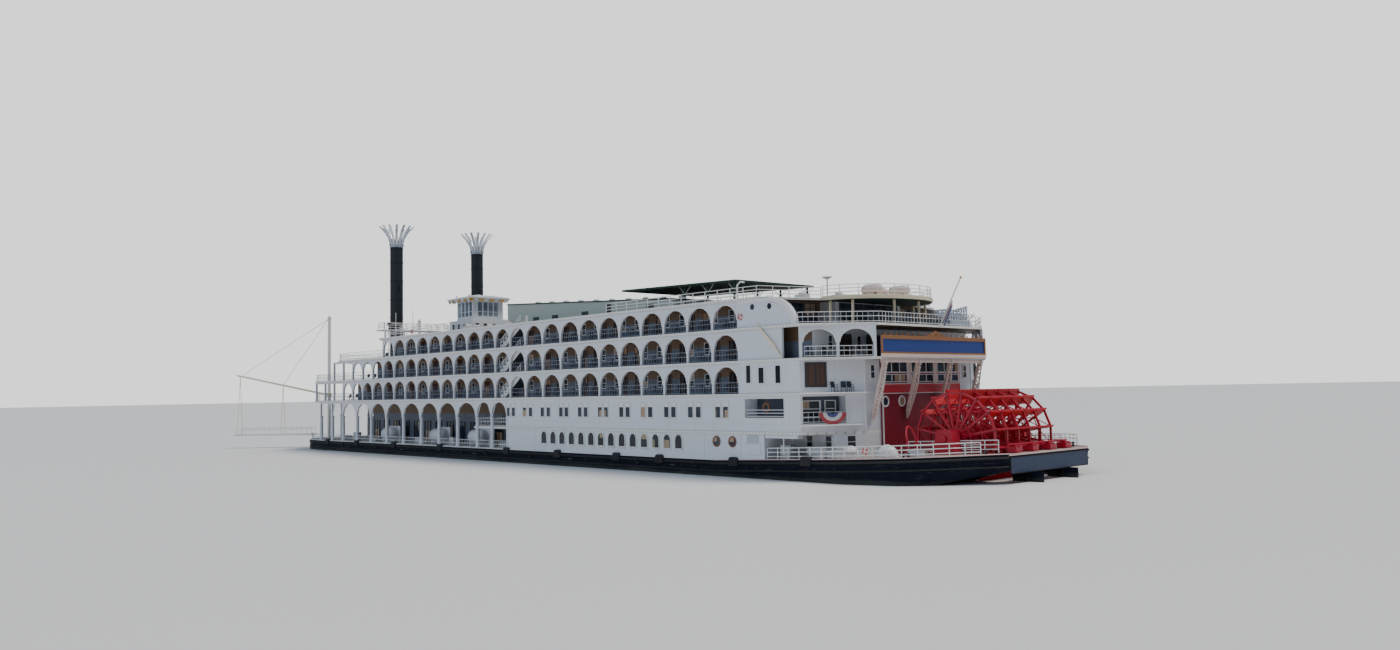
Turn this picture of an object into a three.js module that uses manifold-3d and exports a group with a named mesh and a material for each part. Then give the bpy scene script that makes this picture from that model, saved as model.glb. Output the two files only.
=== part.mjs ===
// A stern-wheel paddle steamer at one tenth of its real size, in millimetres.
// X points to the bow, Y to port and Z up. Places along the ship are given forward of the
// transom, and the whole ship is then moved so that the origin lies amidships on its flat bottom.
import * as THREE from "three";
import { mergeVertices } from "three/addons/utils/BufferGeometryUtils.js";
import Module from "manifold-3d";

// Main sizes
const LENGTH = 12740; // transom to stem
const HALF_BEAM = 1360; // hull and deck edges
const MAIN_DECK = 406; // height of the main deck forward of the sheer
const SHEER_START = 2600; // aft of this the main deck rises
const SHEER_RISE = 94; // rise of the main deck at the transom
const DECK_THICKNESS = 20;
const WALL_FACE = 1352; // outer face of the walls that stand at the deck's edge
const GALLERY_WALL = 1190; // outer face of the walls behind the galleries
const SEAT_GAP = 0.3; // clearance where a piece rests on the sloping deck or in a turned group

// Heights of the decks' upper faces
const DECK = { cabin: 675, observation: 1017, texas: 1318, sun: 1614, roof: 1888 };

// Gallery posts: a forward run and an aft run of equal bays, counted aft from the first post
const FIRST_POST = 10730;
const FORE_BAY = 328;
const FORE_BAYS = 15;
const AFT_BAY = 351;
const AFT_BAYS = 10;
const POST_WIDTH = 26;
const PANEL_THICKNESS = 24;
const PANEL_FACE = 1348; // outer face of the gallery posts
const BEAM = 26; // depth of the beam over the arches
const ARCH_STEPS = 5;

// Paddle wheel and the well that it turns in
const WHEEL = { x: 620, z: 610, radius: 417, halfWidth: 455, arms: 16, rims: 6 };
const SHAFT_RADIUS = 30;
const SHAFT_SIDES = 16;
const SHAFT_END = 640; // half the shaft's length
const BEARING = { inner: 505, outer: 625, foot: 130, head: 70, clearance: 0.9 };
const WELL_HALF = 485; // half the width of the well between the fantails
const WELL_FORE = 1090;
const BEAM_DEPTH = 120; // the transom beam's size along the ship

// Stern: the houses end on this plane, and their corners are cut off aft of CORNER_X
const FACADE_X = 1280;
const FACADE_HALF = 820;
const CORNER_X = 1560;
const FACADE_WALL = { depth: 18, half: 605 };
const SIGN = { aft: 1098, fore: 1116, half: 795, top: 1503 };
const STRUTS = {
  aft: 1105,
  fore: 1135,
  half: 780,
  depth: 30,
  width: 24,
  head: 1290,
  footTop: 840,
  foot: 770,
};
const STRUT_PLACES = [-740, -250, 250, 740];

// Funnels: a fixed foot, a pipe that folds aft about a pin behind its foot, and a crown
const FUNNEL = { x: 10306, y: 696, radius: 95, fold: 2180, crown: 3320, top: 3640, flare: 257 };
const HINGE_LUG = { reach: 100, root: 85, half: 40, height: 60 }; // the pin lies at the lugs' aft edge

// Landing stages: a kingpost each side of the foredeck, with a boom that slews about it and a
// stage that hangs level from the boom, just over the deck
const KINGPOST = { x: 12460, y: 815, radius: 26, top: 2390, collar: 1085 };
const BOOM = { length: 1560, rise: 0.22, thickness: 34, sleeve: 60 };
const STAGE = { inner: 230, outer: 1560, half: 95, top: 480, thickness: 18 };
const HANGERS = [780, 1510]; // distances from the kingpost
// columns: name, side, degrees that the boom is swung outboard
const BOOMS = [
  ["port", 1, 44],
  ["starboard", -1, 0],
];

// Rudders hang below the transom beam
const RUDDER = { x: 55, y: 280, top: 345, bottom: 60, aft: -90, fore: 190, thickness: 14, stock: 16 };

const PAINT = {
  white: { color: 0xf1efea, roughness: 0.45, metalness: 0.0 },
  cream: { color: 0xe9dcc0, roughness: 0.5, metalness: 0.0 },
  black: { color: 0x14161a, roughness: 0.4, metalness: 0.1 },
  red: { color: 0xb3161f, roughness: 0.45, metalness: 0.0 },
  darkRed: { color: 0x6e141c, roughness: 0.5, metalness: 0.0 },
  blue: { color: 0x1d4f9e, roughness: 0.4, metalness: 0.0 },
  green: { color: 0x24463c, roughness: 0.6, metalness: 0.0 },
  steel: { color: 0xb9bcc0, roughness: 0.35, metalness: 0.7 },
};

const wasm = await Module();
wasm.setup();

// Solids: the booleans that join and cut closed geometries

function solidOf(geometry) {
  const bare = geometry.clone();
  bare.deleteAttribute("normal");
  bare.deleteAttribute("uv");
  const merged = mergeVertices(bare, 1e-3);
  return new wasm.Manifold(
    new wasm.Mesh({
      numProp: 3,
      vertProperties: merged.getAttribute("position").array,
      triVerts: new Uint32Array(merged.index.array),
    }),
  );
}

function geometryOf(solid) {
  const made = solid.getMesh();
  const geometry = new THREE.BufferGeometry();
  const positions = new Float32Array(made.numVert * 3);
  for (let i = 0; i < made.numVert; i += 1) {
    const start = i * made.numProp;
    positions.set(made.vertProperties.subarray(start, start + 3), i * 3);
  }
  geometry.setAttribute("position", new THREE.BufferAttribute(positions, 3));
  geometry.setIndex(new THREE.BufferAttribute(new Uint32Array(made.triVerts), 1));
  geometry.computeVertexNormals();
  return geometry;
}

function join(geometries) {
  return geometryOf(geometries.map(solidOf).reduce((all, one) => all.add(one)));
}

function cut(geometry, tools) {
  return geometryOf(tools.map(solidOf).reduce((left, tool) => left.subtract(tool), solidOf(geometry)));
}

// Forms

function box(x0, x1, y0, y1, z0, z1) {
  const geometry = new THREE.BoxGeometry(x1 - x0, y1 - y0, z1 - z0);
  geometry.translate((x0 + x1) / 2, (y0 + y1) / 2, (z0 + z1) / 2);
  return geometry;
}

// A shape whose points run counter-clockwise, whichever way they are listed
function shapeOf(points) {
  const corners = points.map(([u, v]) => new THREE.Vector2(u, v));
  if (THREE.ShapeUtils.isClockWise(corners)) corners.reverse();
  return new THREE.Shape(corners);
}

// A flat plate with an outline in X and Y
function plate(outline, z0, z1, holes = []) {
  const shape = shapeOf(outline);
  for (const hole of holes) shape.holes.push(shapeOf(hole));
  const geometry = new THREE.ExtrudeGeometry(shape, { depth: z1 - z0, bevelEnabled: false });
  geometry.translate(0, 0, z0);
  return geometry;
}

// A panel with a profile in X and Z, from y0 to y1
function panel(profile, y0, y1) {
  const depth = y1 - y0;
  const geometry = new THREE.ExtrudeGeometry(shapeOf(profile), { depth, bevelEnabled: false });
  const turned = new THREE.Matrix4().makeBasis(
    new THREE.Vector3(1, 0, 0),
    new THREE.Vector3(0, 0, 1),
    new THREE.Vector3(0, -1, 0),
  );
  geometry.applyMatrix4(turned);
  geometry.translate(0, y1, 0);
  return geometry;
}

// A rod between two points, with a given number of sides
function rod(from, to, radius, sides = 8) {
  const start = new THREE.Vector3(...from);
  const end = new THREE.Vector3(...to);
  const geometry = new THREE.CylinderGeometry(radius, radius, start.distanceTo(end), sides);
  const turn = new THREE.Quaternion().setFromUnitVectors(
    new THREE.Vector3(0, 1, 0),
    end.clone().sub(start).normalize(),
  );
  geometry.applyQuaternion(turn);
  const middle = start.add(end).multiplyScalar(0.5);
  geometry.translate(middle.x, middle.y, middle.z);
  return geometry;
}

// A closed body through cross-sections that have the same number of points
function loft(sections) {
  const count = sections[0].length;
  const positions = sections.flat(2);
  const faces = [];
  for (let s = 0; s + 1 < sections.length; s += 1) {
    for (let p = 0; p < count; p += 1) {
      const next = (p + 1) % count;
      const a = s * count + p;
      const b = s * count + next;
      const c = a + count;
      const d = b + count;
      faces.push(a, b, d, a, d, c);
    }
  }
  const last = (sections.length - 1) * count;
  for (let p = 1; p + 1 < count; p += 1) {
    faces.push(0, p + 1, p);
    faces.push(last, last + p, last + p + 1);
  }
  const geometry = new THREE.BufferGeometry();
  geometry.setAttribute("position", new THREE.Float32BufferAttribute(positions, 3));
  geometry.setIndex(faces);
  geometry.computeVertexNormals();
  return geometry;
}

// The main deck's height, with its sheer aft
function mainDeckAt(x) {
  return MAIN_DECK + (SHEER_RISE * Math.max(0, SHEER_START - x)) / SHEER_START;
}

// What is left of a geometry above the sloping main deck
function aboveMainDeck(geometry) {
  const top = MAIN_DECK + SEAT_GAP;
  const below = panel(
    [
      [-200, 0],
      [SHEER_START, 0],
      [SHEER_START, top],
      [0, top + SHEER_RISE],
      [-200, top + SHEER_RISE],
    ],
    -2000,
    2000,
  );
  return cut(geometry, [below]);
}

// Hull: stations along the ship, each a flat-bottomed section with a bilge
// columns: x, half-beam at the deck, half-beam at the bottom, height of the bottom
const STATIONS = [
  [WELL_FORE, 1356, 1240, 90],
  [1700, 1360, 1280, 12],
  [SHEER_START, 1360, 1300, 0],
  [11500, 1360, 1300, 0],
  [11900, 1330, 1180, 8],
  [12200, 1240, 980, 40],
  [12420, 1090, 760, 90],
  [12580, 890, 560, 150],
  [12690, 620, 350, 210],
  [LENGTH, 260, 140, 260],
];
const BILGE = 70;

function hullSection([x, deckHalf, bottomHalf, bottom]) {
  const deck = mainDeckAt(x);
  return [
    [x, -deckHalf, deck],
    [x, -deckHalf, Math.min(bottom + BILGE, deck - 40)],
    [x, -bottomHalf, bottom],
    [x, bottomHalf, bottom],
    [x, deckHalf, Math.min(bottom + BILGE, deck - 40)],
    [x, deckHalf, deck],
  ];
}

function hull() {
  return loft(STATIONS.map(hullSection));
}

// Fantails: the two arms of the hull beside the wheel
// columns: x, outer half-beam, height of the bottom
const FANTAIL = [
  [0, 640, 380],
  [170, 800, 335],
  [380, 1030, 280],
  [630, 1230, 205],
  [WELL_FORE, 1356, 90],
];

function fantail() {
  return loft(
    FANTAIL.map(([x, outer, bottom]) => [
      [x, WELL_HALF, mainDeckAt(x)],
      [x, WELL_HALF, bottom],
      [x, outer - BILGE, bottom],
      [x, outer, bottom + BILGE],
      [x, outer, mainDeckAt(x)],
    ]),
  );
}

function transomBeam() {
  return box(0, BEAM_DEPTH, -WELL_HALF, WELL_HALF, FANTAIL[0][2], mainDeckAt(BEAM_DEPTH));
}

// Decks: outlines with the stern's corners cut off and a rounded front
const FRONT_STEPS = 6;

function deckOutline({ aft, aftHalf, corner, bow, fore, foreHalf }) {
  const side = [
    [aft, aftHalf],
    [corner, HALF_BEAM],
  ];
  for (let i = 0; i <= FRONT_STEPS; i += 1) {
    const angle = (i / FRONT_STEPS) * (Math.PI / 2);
    const x = bow + (fore - bow) * Math.sin(angle);
    side.push([x, foreHalf + (HALF_BEAM - foreHalf) * Math.cos(angle)]);
  }
  return [...side, ...side.map(([x, y]) => [x, -y]).reverse()];
}

const STAIR = {
  top: 5960,
  foot: 6390,
  inner: 1206,
  outer: 1318,
  treads: 7,
  stringer: 1.6, // depth of a flight, in steps
  newel: 24,
  newelTop: 90, // height of the newel over the roof deck
  wellLength: 250,
  wellPlay: 8,
};

// The openings that the side stairs pass up through
function stairWells() {
  const aft = STAIR.top - STAIR.wellPlay;
  const fore = STAIR.top + STAIR.wellLength;
  const inner = STAIR.inner - STAIR.wellPlay;
  const outer = STAIR.outer + STAIR.wellPlay / 2;
  return [1, -1].map((side) => [
    [aft, side * inner],
    [fore, side * inner],
    [fore, side * outer],
    [aft, side * outer],
  ]);
}

// columns: deck, aft end, half-width there, where the full beam starts, where the rounded
// front starts, its foremost point, half-width of its flat nose, whether the stairs pass through
const DECKS = [
  ["observation", FACADE_X, FACADE_HALF, CORNER_X, 11600, 12380, 450, false],
  ["texas", 1095, 800, 1540, 11600, 12340, 450, true],
  ["sun", 1120, 800, 1540, 10760, 11450, 450, true],
  ["roof", 1850, 697, 2050, 9480, 9720, 900, true],
];

function deckPlate([name, aft, aftHalf, corner, bow, fore, foreHalf, open]) {
  const outline = deckOutline({ aft, aftHalf, corner, bow, fore, foreHalf });
  return plate(outline, DECK[name] - DECK_THICKNESS, DECK[name], open ? stairWells() : []);
}

// The cabin deck ends at the side balconies, beside the forward house
const HOUSE_BREAK = 6200; // aft of this the walls stand at the ship's side
const BALCONY_FORE = 6990;
const FORE_HOUSE_HALF = 930;
const BALCONY_EDGE = PANEL_FACE - PANEL_THICKNESS;

function cabinDeck() {
  const half = [
    [FACADE_X, FACADE_HALF],
    [CORNER_X, HALF_BEAM],
    [HOUSE_BREAK, HALF_BEAM],
    [HOUSE_BREAK, BALCONY_EDGE],
    [BALCONY_FORE, BALCONY_EDGE],
    [BALCONY_FORE, FORE_HOUSE_HALF],
    [HOUSE_BREAK, FORE_HOUSE_HALF],
  ];
  const other = half.map(([x, y]) => [x, -y]).reverse();
  return plate([...half, ...other], DECK.cabin - DECK_THICKNESS, DECK.cabin);
}

// Houses: solid blocks between the decks, with the stern's corners cut off where they reach it
function cornered(fore, half, z0, z1, cornerX = CORNER_X) {
  return plate(
    [
      [FACADE_X, -FACADE_HALF],
      [cornerX, -half],
      [fore, -half],
      [fore, half],
      [cornerX, half],
      [FACADE_X, FACADE_HALF],
    ],
    z0,
    z1,
  );
}

const MAIN_HOUSE_AFT = 2000;
const STERN_HOUSE = { half: 1080, corner: 1400 };
const FORE_HOUSE_FORE = 10600;
const PORTAL = { x: 12230, posts: [-700, -235, 235, 700] };
const QUARTERS_FORE = FIRST_POST - FORE_BAYS * FORE_BAY - AFT_BAYS * AFT_BAY - POST_WIDTH / 2;

function under(deck) {
  return DECK[deck] - DECK_THICKNESS;
}

function mainHouse() {
  const block = box(MAIN_HOUSE_AFT, HOUSE_BREAK, -WALL_FACE, WALL_FACE, MAIN_DECK, under("cabin"));
  return aboveMainDeck(block);
}

function sternHouse() {
  const { half, corner } = STERN_HOUSE;
  return aboveMainDeck(cornered(MAIN_HOUSE_AFT, half, MAIN_DECK, under("cabin"), corner));
}

// The cabin-deck house has an open recess each side and one at each stern corner
const SIDE_RECESS = { aft: 1750, fore: 2230, depth: 160, bottom: 800, top: 970 };
const CORNER_RECESS = { length: 400, shift: 82, depth: 150, bottom: 750, top: 985 };

function cabinHouse() {
  const block = cornered(HOUSE_BREAK, WALL_FACE, DECK.cabin, under("observation"));
  const tools = [];
  for (const side of [1, -1]) {
    const inner = side * (WALL_FACE - SIDE_RECESS.depth);
    const outer = side * (WALL_FACE + 50);
    const span = [Math.min(inner, outer), Math.max(inner, outer)];
    tools.push(box(SIDE_RECESS.aft, SIDE_RECESS.fore, ...span, SIDE_RECESS.bottom, SIDE_RECESS.top));
    const middle = [(FACADE_X + CORNER_X) / 2, (side * (FACADE_HALF + WALL_FACE)) / 2];
    const angle = Math.atan2(side * (WALL_FACE - FACADE_HALF), CORNER_X - FACADE_X);
    const { length, shift, depth, bottom, top } = CORNER_RECESS;
    const niche = box(shift - length / 2, shift + length / 2, -depth, depth, bottom, top);
    niche.rotateZ(angle);
    niche.translate(middle[0], middle[1], 0);
    tools.push(niche);
  }
  return cut(block, tools);
}

function foreHouse() {
  const half = FORE_HOUSE_HALF;
  return box(HOUSE_BREAK, FORE_HOUSE_FORE, -half, half, MAIN_DECK, under("observation"));
}

// Rectangular houses: columns: name, aft, fore, half-width, bottom, top
const HOUSES = [
  ["observation_house", QUARTERS_FORE, 10560, GALLERY_WALL, DECK.observation, under("texas")],
  ["texas_house", 1560, 9920, GALLERY_WALL, DECK.texas, under("sun")],
  ["sun_house", 2050, 9300, GALLERY_WALL, DECK.sun, under("roof")],
  ["stern_lounge", 1860, 2050, 500, DECK.sun, under("roof")],
];

// Gallery posts from the bow aft
const POSTS = [];
for (let i = -3; i <= FORE_BAYS; i += 1) POSTS.push(FIRST_POST - i * FORE_BAY);
for (let i = 1; i <= AFT_BAYS; i += 1) POSTS.push(POSTS[FORE_BAYS + 3] - i * AFT_BAY);

// The aft end of the sun gallery is a wall whose top comes down in a quarter round
const QUARTER = { aft: 1580, crown: 1900, steps: 8 };

function quarterRound(z0, z1) {
  const points = [];
  for (let i = 0; i <= QUARTER.steps; i += 1) {
    const angle = (i / QUARTER.steps) * (Math.PI / 2);
    const x = QUARTER.crown - (QUARTER.crown - QUARTER.aft) * Math.cos(angle);
    points.push([x, z0 + (z1 - z0) * Math.sin(angle)]);
  }
  return points;
}

// Posts and arches in one panel: the outline runs along the feet of the posts and over each arch.
// rise is the arch's height as a share of its half-width; squareBays are bays with no arch;
// end is how the panel ends aft of the last post: null, the x of a closed wall, or "quarter"
function colonnade({ posts, z0, z1, beam, rise = 1, squareBays = 0, end = null }) {
  const half = POST_WIDTH / 2;
  const fore = posts[0] + half;
  const aft = end ?? posts[posts.length - 1] - half;
  const aftEdge = end === "quarter" ? quarterRound(z0, z1) : [[aft, z0], [aft, z1]];
  const outline = [
    ...aftEdge,
    [fore, z1],
    [fore, z0],
  ];
  for (let i = 0; i + 1 < posts.length; i += 1) {
    const right = posts[i] - half;
    const left = posts[i + 1] + half;
    const middle = (left + right) / 2;
    const span = (right - left) / 2;
    outline.push([right, z0]);
    if (i < squareBays) {
      outline.push([right, z1 - beam], [left, z1 - beam]);
    } else {
      const spring = z1 - beam - span * rise;
      for (let step = 0; step <= ARCH_STEPS; step += 1) {
        const angle = (step / ARCH_STEPS) * Math.PI;
        outline.push([middle + span * Math.cos(angle), spring + span * rise * Math.sin(angle)]);
      }
    }
    outline.push([left, z0]);
  }
  return panel(outline, PANEL_FACE - PANEL_THICKNESS, PANEL_FACE);
}

// Galleries: columns: name, deck below, deck above, first post's index,
// bays without an arch, how the panel ends aft
const GALLERIES = [
  ["observation_gallery", "observation", "texas", 0, 3, null],
  ["texas_gallery", "texas", "sun", 2, 2, 1760],
  ["sun_gallery", "sun", "roof", 7, 0, "quarter"],
];

function gallery([, below, above, first, squareBays, end]) {
  return colonnade({
    posts: POSTS.slice(first),
    z0: DECK[below],
    z1: under(above),
    beam: BEAM,
    rise: 0.92,
    squareBays,
    end,
  });
}

// Main-deck colonnade: tall posts two storeys high, wider apart than the gallery's
const TALL_POSTS = [11540, 11130, 10750, 10270, 9810, 9330, 8830, 8330, 7850, 7380, 6900, 6560, 6213];

function tallColonnade() {
  return colonnade({
    posts: TALL_POSTS,
    z0: MAIN_DECK,
    z1: under("observation"),
    beam: BEAM,
    rise: 0.8,
    squareBays: 2,
  });
}

// Stern gallery on the texas deck: arches along the cut-off corner
const STERN_GALLERY = { x: 1130, y: 830 };

function sternGallery() {
  const along = CORNER_X - STERN_GALLERY.x;
  const across = PANEL_FACE - STERN_GALLERY.y;
  const length = Math.hypot(along, across);
  const posts = [length - POST_WIDTH / 2, length / 2, POST_WIDTH / 2];
  const made = colonnade({ posts, z0: DECK.texas, z1: under("sun"), beam: BEAM, rise: 0.8 });
  made.translate(0, -PANEL_FACE, 0);
  made.rotateZ(Math.atan2(across, along));
  made.translate(STERN_GALLERY.x, STERN_GALLERY.y, 0);
  return made;
}

// A transverse portal of posts under the front of a deck
function portal(x, ys, z0, z1) {
  const half = POST_WIDTH / 2;
  const pieces = [box(x - half, x + half, ys[0] - half, ys[ys.length - 1] + half, z1 - BEAM, z1)];
  for (const y of ys) pieces.push(box(x - half, x + half, y - half, y + half, z0, z1 - BEAM / 2));
  return join(pieces);
}

// Side stairs: three flights and the newel post that they share
function sideStairs() {
  const pieces = [];
  const levels = ["observation", "texas", "sun", "roof"];
  for (let i = 0; i < 3; i += 1) {
    const z0 = DECK[levels[i]];
    const rise = (DECK[levels[i + 1]] - z0) / STAIR.treads;
    const run = (STAIR.foot - STAIR.top) / STAIR.treads;
    const profile = [[STAIR.foot, z0]];
    for (let step = 0; step < STAIR.treads; step += 1) {
      const x = STAIR.foot - step * run;
      profile.push([x, z0 + (step + 1) * rise], [x - run, z0 + (step + 1) * rise]);
    }
    const { stringer } = STAIR;
    profile.push([STAIR.top, z0 + (STAIR.treads - stringer) * rise], [STAIR.foot - stringer * run, z0]);
    pieces.push(panel(profile, STAIR.inner, STAIR.outer));
  }
  const newel = [STAIR.top, STAIR.top + STAIR.newel, STAIR.inner, STAIR.inner + STAIR.newel];
  pieces.push(box(...newel, DECK.observation, DECK.roof + STAIR.newelTop));
  return join(pieces);
}

// Long low house on the roof, with a roof that slopes down aft
const ROOF_HOUSE = { aft: 3950, fore: 7200, half: 700, aftTop: 2040, foreTop: 2215 };

function roofHouse() {
  const { aft, fore, half, aftTop, foreTop } = ROOF_HOUSE;
  const profile = [
    [aft, DECK.roof],
    [fore, DECK.roof],
    [fore, foreTop],
    [aft, aftTop],
  ];
  return panel(profile, -half, half);
}

// Awning on posts: a thin roof that slopes down aft
const AWNING = { aft: 3080, fore: 4940, half: 600, aftZ: 2160, foreZ: 2205, thickness: 20 };
const AWNING_POSTS = [3140, 3540, 3900];
const THIN_POST = 9; // half-width of the posts under the awning, the stern roof and the gangway

function thinPost(x, y, z0, z1) {
  return box(x - THIN_POST, x + THIN_POST, y - THIN_POST, y + THIN_POST, z0, z1);
}

function awning() {
  const { aft, fore, half, aftZ, foreZ, thickness } = AWNING;
  const profile = [
    [aft, aftZ],
    [fore, foreZ],
    [fore, foreZ + thickness],
    [aft, aftZ + thickness],
  ];
  const pieces = [panel(profile, -half, half)];
  for (const x of AWNING_POSTS) {
    const top = aftZ + ((foreZ - aftZ) * (x - aft)) / (fore - aft) + thickness / 2;
    for (const side of [1, -1]) pieces.push(thinPost(x, side * (half - 40), DECK.roof, top));
  }
  return join(pieces);
}

// Roof over the open stern of the sun deck, on posts
const STERN_ROOF = { aft: 1300, fore: 1850, half: 697, bottom: 1868, top: 1900, steps: 12 };
// columns: x, distance from the centreline
const STERN_ROOF_POSTS = [
  [1800, 640],
  [1600, 560],
  [1410, 190],
];

function sternRoof() {
  const { aft, fore, half, bottom, top, steps } = STERN_ROOF;
  const outline = [
    [fore, -half],
    [fore, half],
  ];
  for (let i = 1; i < steps; i += 1) {
    const angle = (i / steps) * Math.PI;
    outline.push([fore - (fore - aft) * Math.sin(angle), half * Math.cos(angle)]);
  }
  const pieces = [plate(outline, bottom, top)];
  for (const [x, y] of STERN_ROOF_POSTS) {
    for (const side of [1, -1]) pieces.push(thinPost(x, side * y, DECK.sun, bottom + THIN_POST));
  }
  return join(pieces);
}

// Stern facade, the wall in front of the paddle wheel
function sternFacade() {
  const { depth, half } = FACADE_WALL;
  return aboveMainDeck(box(FACADE_X - depth, FACADE_X, -half, half, MAIN_DECK, under("texas")));
}

// Blank name panel over the wheel, with the struts that slope down from it
function sternSign() {
  return box(SIGN.aft, SIGN.fore, -SIGN.half, SIGN.half, DECK.texas, SIGN.top);
}

function sternStruts() {
  const { aft, fore, half, depth, head, footTop, foot, width } = STRUTS;
  const wall = FACADE_X - FACADE_WALL.depth - SEAT_GAP;
  const profile = [
    [aft, head],
    [fore, head],
    [wall, footTop],
    [wall, foot],
  ];
  const pieces = [box(aft, fore, -half, half, under("texas") - depth, under("texas"))];
  for (const y of STRUT_PLACES) pieces.push(panel(profile, y - width / 2, y + width / 2));
  return join(pieces);
}

// Paddle wheel: spiders of arms and rims on one shaft, joined by the paddles
const SPIDER = { rimOuter: 397, rimInner: 377, hub: 70, armHalf: 9, thickness: 14 };
const PADDLE = { depth: 75, thickness: 10 };

function spider(y) {
  const { rimOuter, rimInner, hub, armHalf, thickness } = SPIDER;
  const outer = [];
  const holes = [];
  const inHub = armHalf / hub;
  const inRim = armHalf / rimInner;
  const corner = (r, a) => [r * Math.cos(a), r * Math.sin(a)];
  for (let i = 0; i < WHEEL.arms; i += 1) {
    const angle = ((i + 0.5) / WHEEL.arms) * 2 * Math.PI;
    const next = ((i + 1.5) / WHEEL.arms) * 2 * Math.PI;
    outer.push(corner(rimOuter, angle));
    holes.push([
      corner(hub, angle + inHub),
      corner(rimInner, angle + inRim),
      corner(rimInner, next - inRim),
      corner(hub, next - inHub),
    ]);
  }
  const shape = shapeOf(outer);
  for (const hole of holes) shape.holes.push(shapeOf(hole));
  const geometry = new THREE.ExtrudeGeometry(shape, { depth: thickness, bevelEnabled: false });
  geometry.rotateX(Math.PI / 2);
  geometry.translate(0, y + thickness / 2, 0);
  return geometry;
}

function paddleWheel() {
  const { arms, radius, halfWidth, rims } = WHEEL;
  const { thickness } = SPIDER;
  const pieces = [rod([0, -SHAFT_END, 0], [0, SHAFT_END, 0], SHAFT_RADIUS, SHAFT_SIDES)];
  for (let i = 0; i < rims; i += 1) {
    pieces.push(spider(-halfWidth + thickness / 2 + (i * (2 * halfWidth - thickness)) / (rims - 1)));
  }
  const half = PADDLE.thickness / 2;
  for (let i = 0; i < arms; i += 1) {
    const paddle = box(radius - PADDLE.depth, radius, -halfWidth, halfWidth, -half, half);
    paddle.rotateY(((i + 0.5) / arms) * 2 * Math.PI);
    pieces.push(paddle);
  }
  return join(pieces);
}

// Bearing block on the port fantail
function bearing() {
  const { inner, outer, foot, head, clearance } = BEARING;
  const { x, z } = WHEEL;
  const profile = [
    [x - foot, MAIN_DECK],
    [x + foot, MAIN_DECK],
    [x + head, z + head],
    [x - head, z + head],
  ];
  const bore = rod([x, inner - 5, z], [x, outer + 5, z], SHAFT_RADIUS + clearance, SHAFT_SIDES);
  return aboveMainDeck(cut(panel(profile, inner, outer), [bore]));
}

// Upright cylinder on the Z axis
function post(radius, z0, z1, sides, topRadius = radius) {
  return new THREE.CylinderGeometry(topRadius, radius, z1 - z0, sides)
    .rotateX(Math.PI / 2)
    .translate(0, 0, (z0 + z1) / 2);
}

// Funnels, each in a frame with its origin on the pipe's axis at the fold
const FUNNEL_SIDES = 24;

function hingeLug(z0, z1) {
  const { reach, root, half } = HINGE_LUG;
  return box(-reach, -root, -half, half, z0, z1);
}

function funnelPipe() {
  const pipe = post(FUNNEL.radius, 0, FUNNEL.crown - FUNNEL.fold, FUNNEL_SIDES);
  return join([pipe, hingeLug(0, HINGE_LUG.height)]);
}

function funnelFoot() {
  const foot = post(FUNNEL.radius, DECK.sun - FUNNEL.fold, -SEAT_GAP, FUNNEL_SIDES);
  return join([foot, hingeLug(-HINGE_LUG.height, -SEAT_GAP)]);
}

// A crown of feathers that curl outwards from a ring
const FEATHERS = { count: 14, thickness: 9, width: 34, foot: 20, steps: 3, curl: 1.9 };
const CROWN_RING = { height: 60, grow: 8 };

function funnelCrown() {
  const { radius, flare, crown, top } = FUNNEL;
  const { count, thickness, width, foot, steps, curl } = FEATHERS;
  const height = top - crown;
  const pieces = [post(radius, 0, CROWN_RING.height, FUNNEL_SIDES, radius + CROWN_RING.grow)];
  for (let k = 0; k < count; k += 1) {
    const outer = [];
    const inner = [];
    for (let i = 0; i <= steps; i += 1) {
      const share = i / steps;
      const r = radius + (flare - radius) * share ** curl;
      const z = foot + (height - foot) * share;
      outer.push([r, z]);
      inner.push([r - thickness, z]);
    }
    const feather = panel([...outer, ...inner.reverse()], -width / 2, width / 2);
    feather.rotateZ((k / count) * 2 * Math.PI);
    pieces.push(feather);
  }
  return join(pieces);
}

// Pilothouse: four walls with windows all round, open above and below, and a hipped roof
const HELM = { aft: 8830, fore: 9345, half: 250, floor: 2150, eaves: 2450, wall: 18, cut: 70 };
const HELM_WINDOWS = { sill: 2200, head: 2405, sideFirst: 30, sidePitch: 104, sideWidth: 78,
  endFirst: -167, endPitch: 88, endWidth: 70, count: 4, reach: 20 };
const HELM_ROOF = { eavesOut: 78, edgeOut: 82, edge: 20, crownIn: 100, crown: 65 };

function helmOutline(inset) {
  const aft = HELM.aft + inset;
  const fore = HELM.fore - inset;
  const half = HELM.half - inset;
  const corner = HELM.cut - inset * 0.4;
  return [
    [aft, -half],
    [fore - corner, -half],
    [fore, -half + corner],
    [fore, half - corner],
    [fore - corner, half],
    [aft, half],
  ];
}

function pilothouse() {
  const walls = plate(helmOutline(0), HELM.floor, HELM.eaves, [helmOutline(HELM.wall)]);
  const { sill, head, sideFirst, sidePitch, sideWidth, endFirst, endPitch, endWidth, count, reach } =
    HELM_WINDOWS;
  const tools = [];
  for (let i = 0; i < count; i += 1) {
    const x = HELM.aft + sideFirst + i * sidePitch;
    tools.push(box(x, x + sideWidth, -HELM.half - reach, HELM.half + reach, sill, head));
    const y = endFirst + i * endPitch;
    tools.push(box(HELM.aft - reach, HELM.fore + reach, y, y + endWidth, sill, head));
  }
  return cut(walls, tools);
}

function pilothouseRoof() {
  const ring = (grow, z) => [
    [HELM.aft - grow, -HELM.half - grow, z],
    [HELM.fore + grow, -HELM.half - grow, z],
    [HELM.fore + grow, HELM.half + grow, z],
    [HELM.aft - grow, HELM.half + grow, z],
  ];
  const { eavesOut, edgeOut, edge, crownIn, crown } = HELM_ROOF;
  const { eaves } = HELM;
  return loft([ring(eavesOut, eaves), ring(edgeOut, eaves + edge), ring(-crownIn, eaves + crown)]);
}

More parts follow.
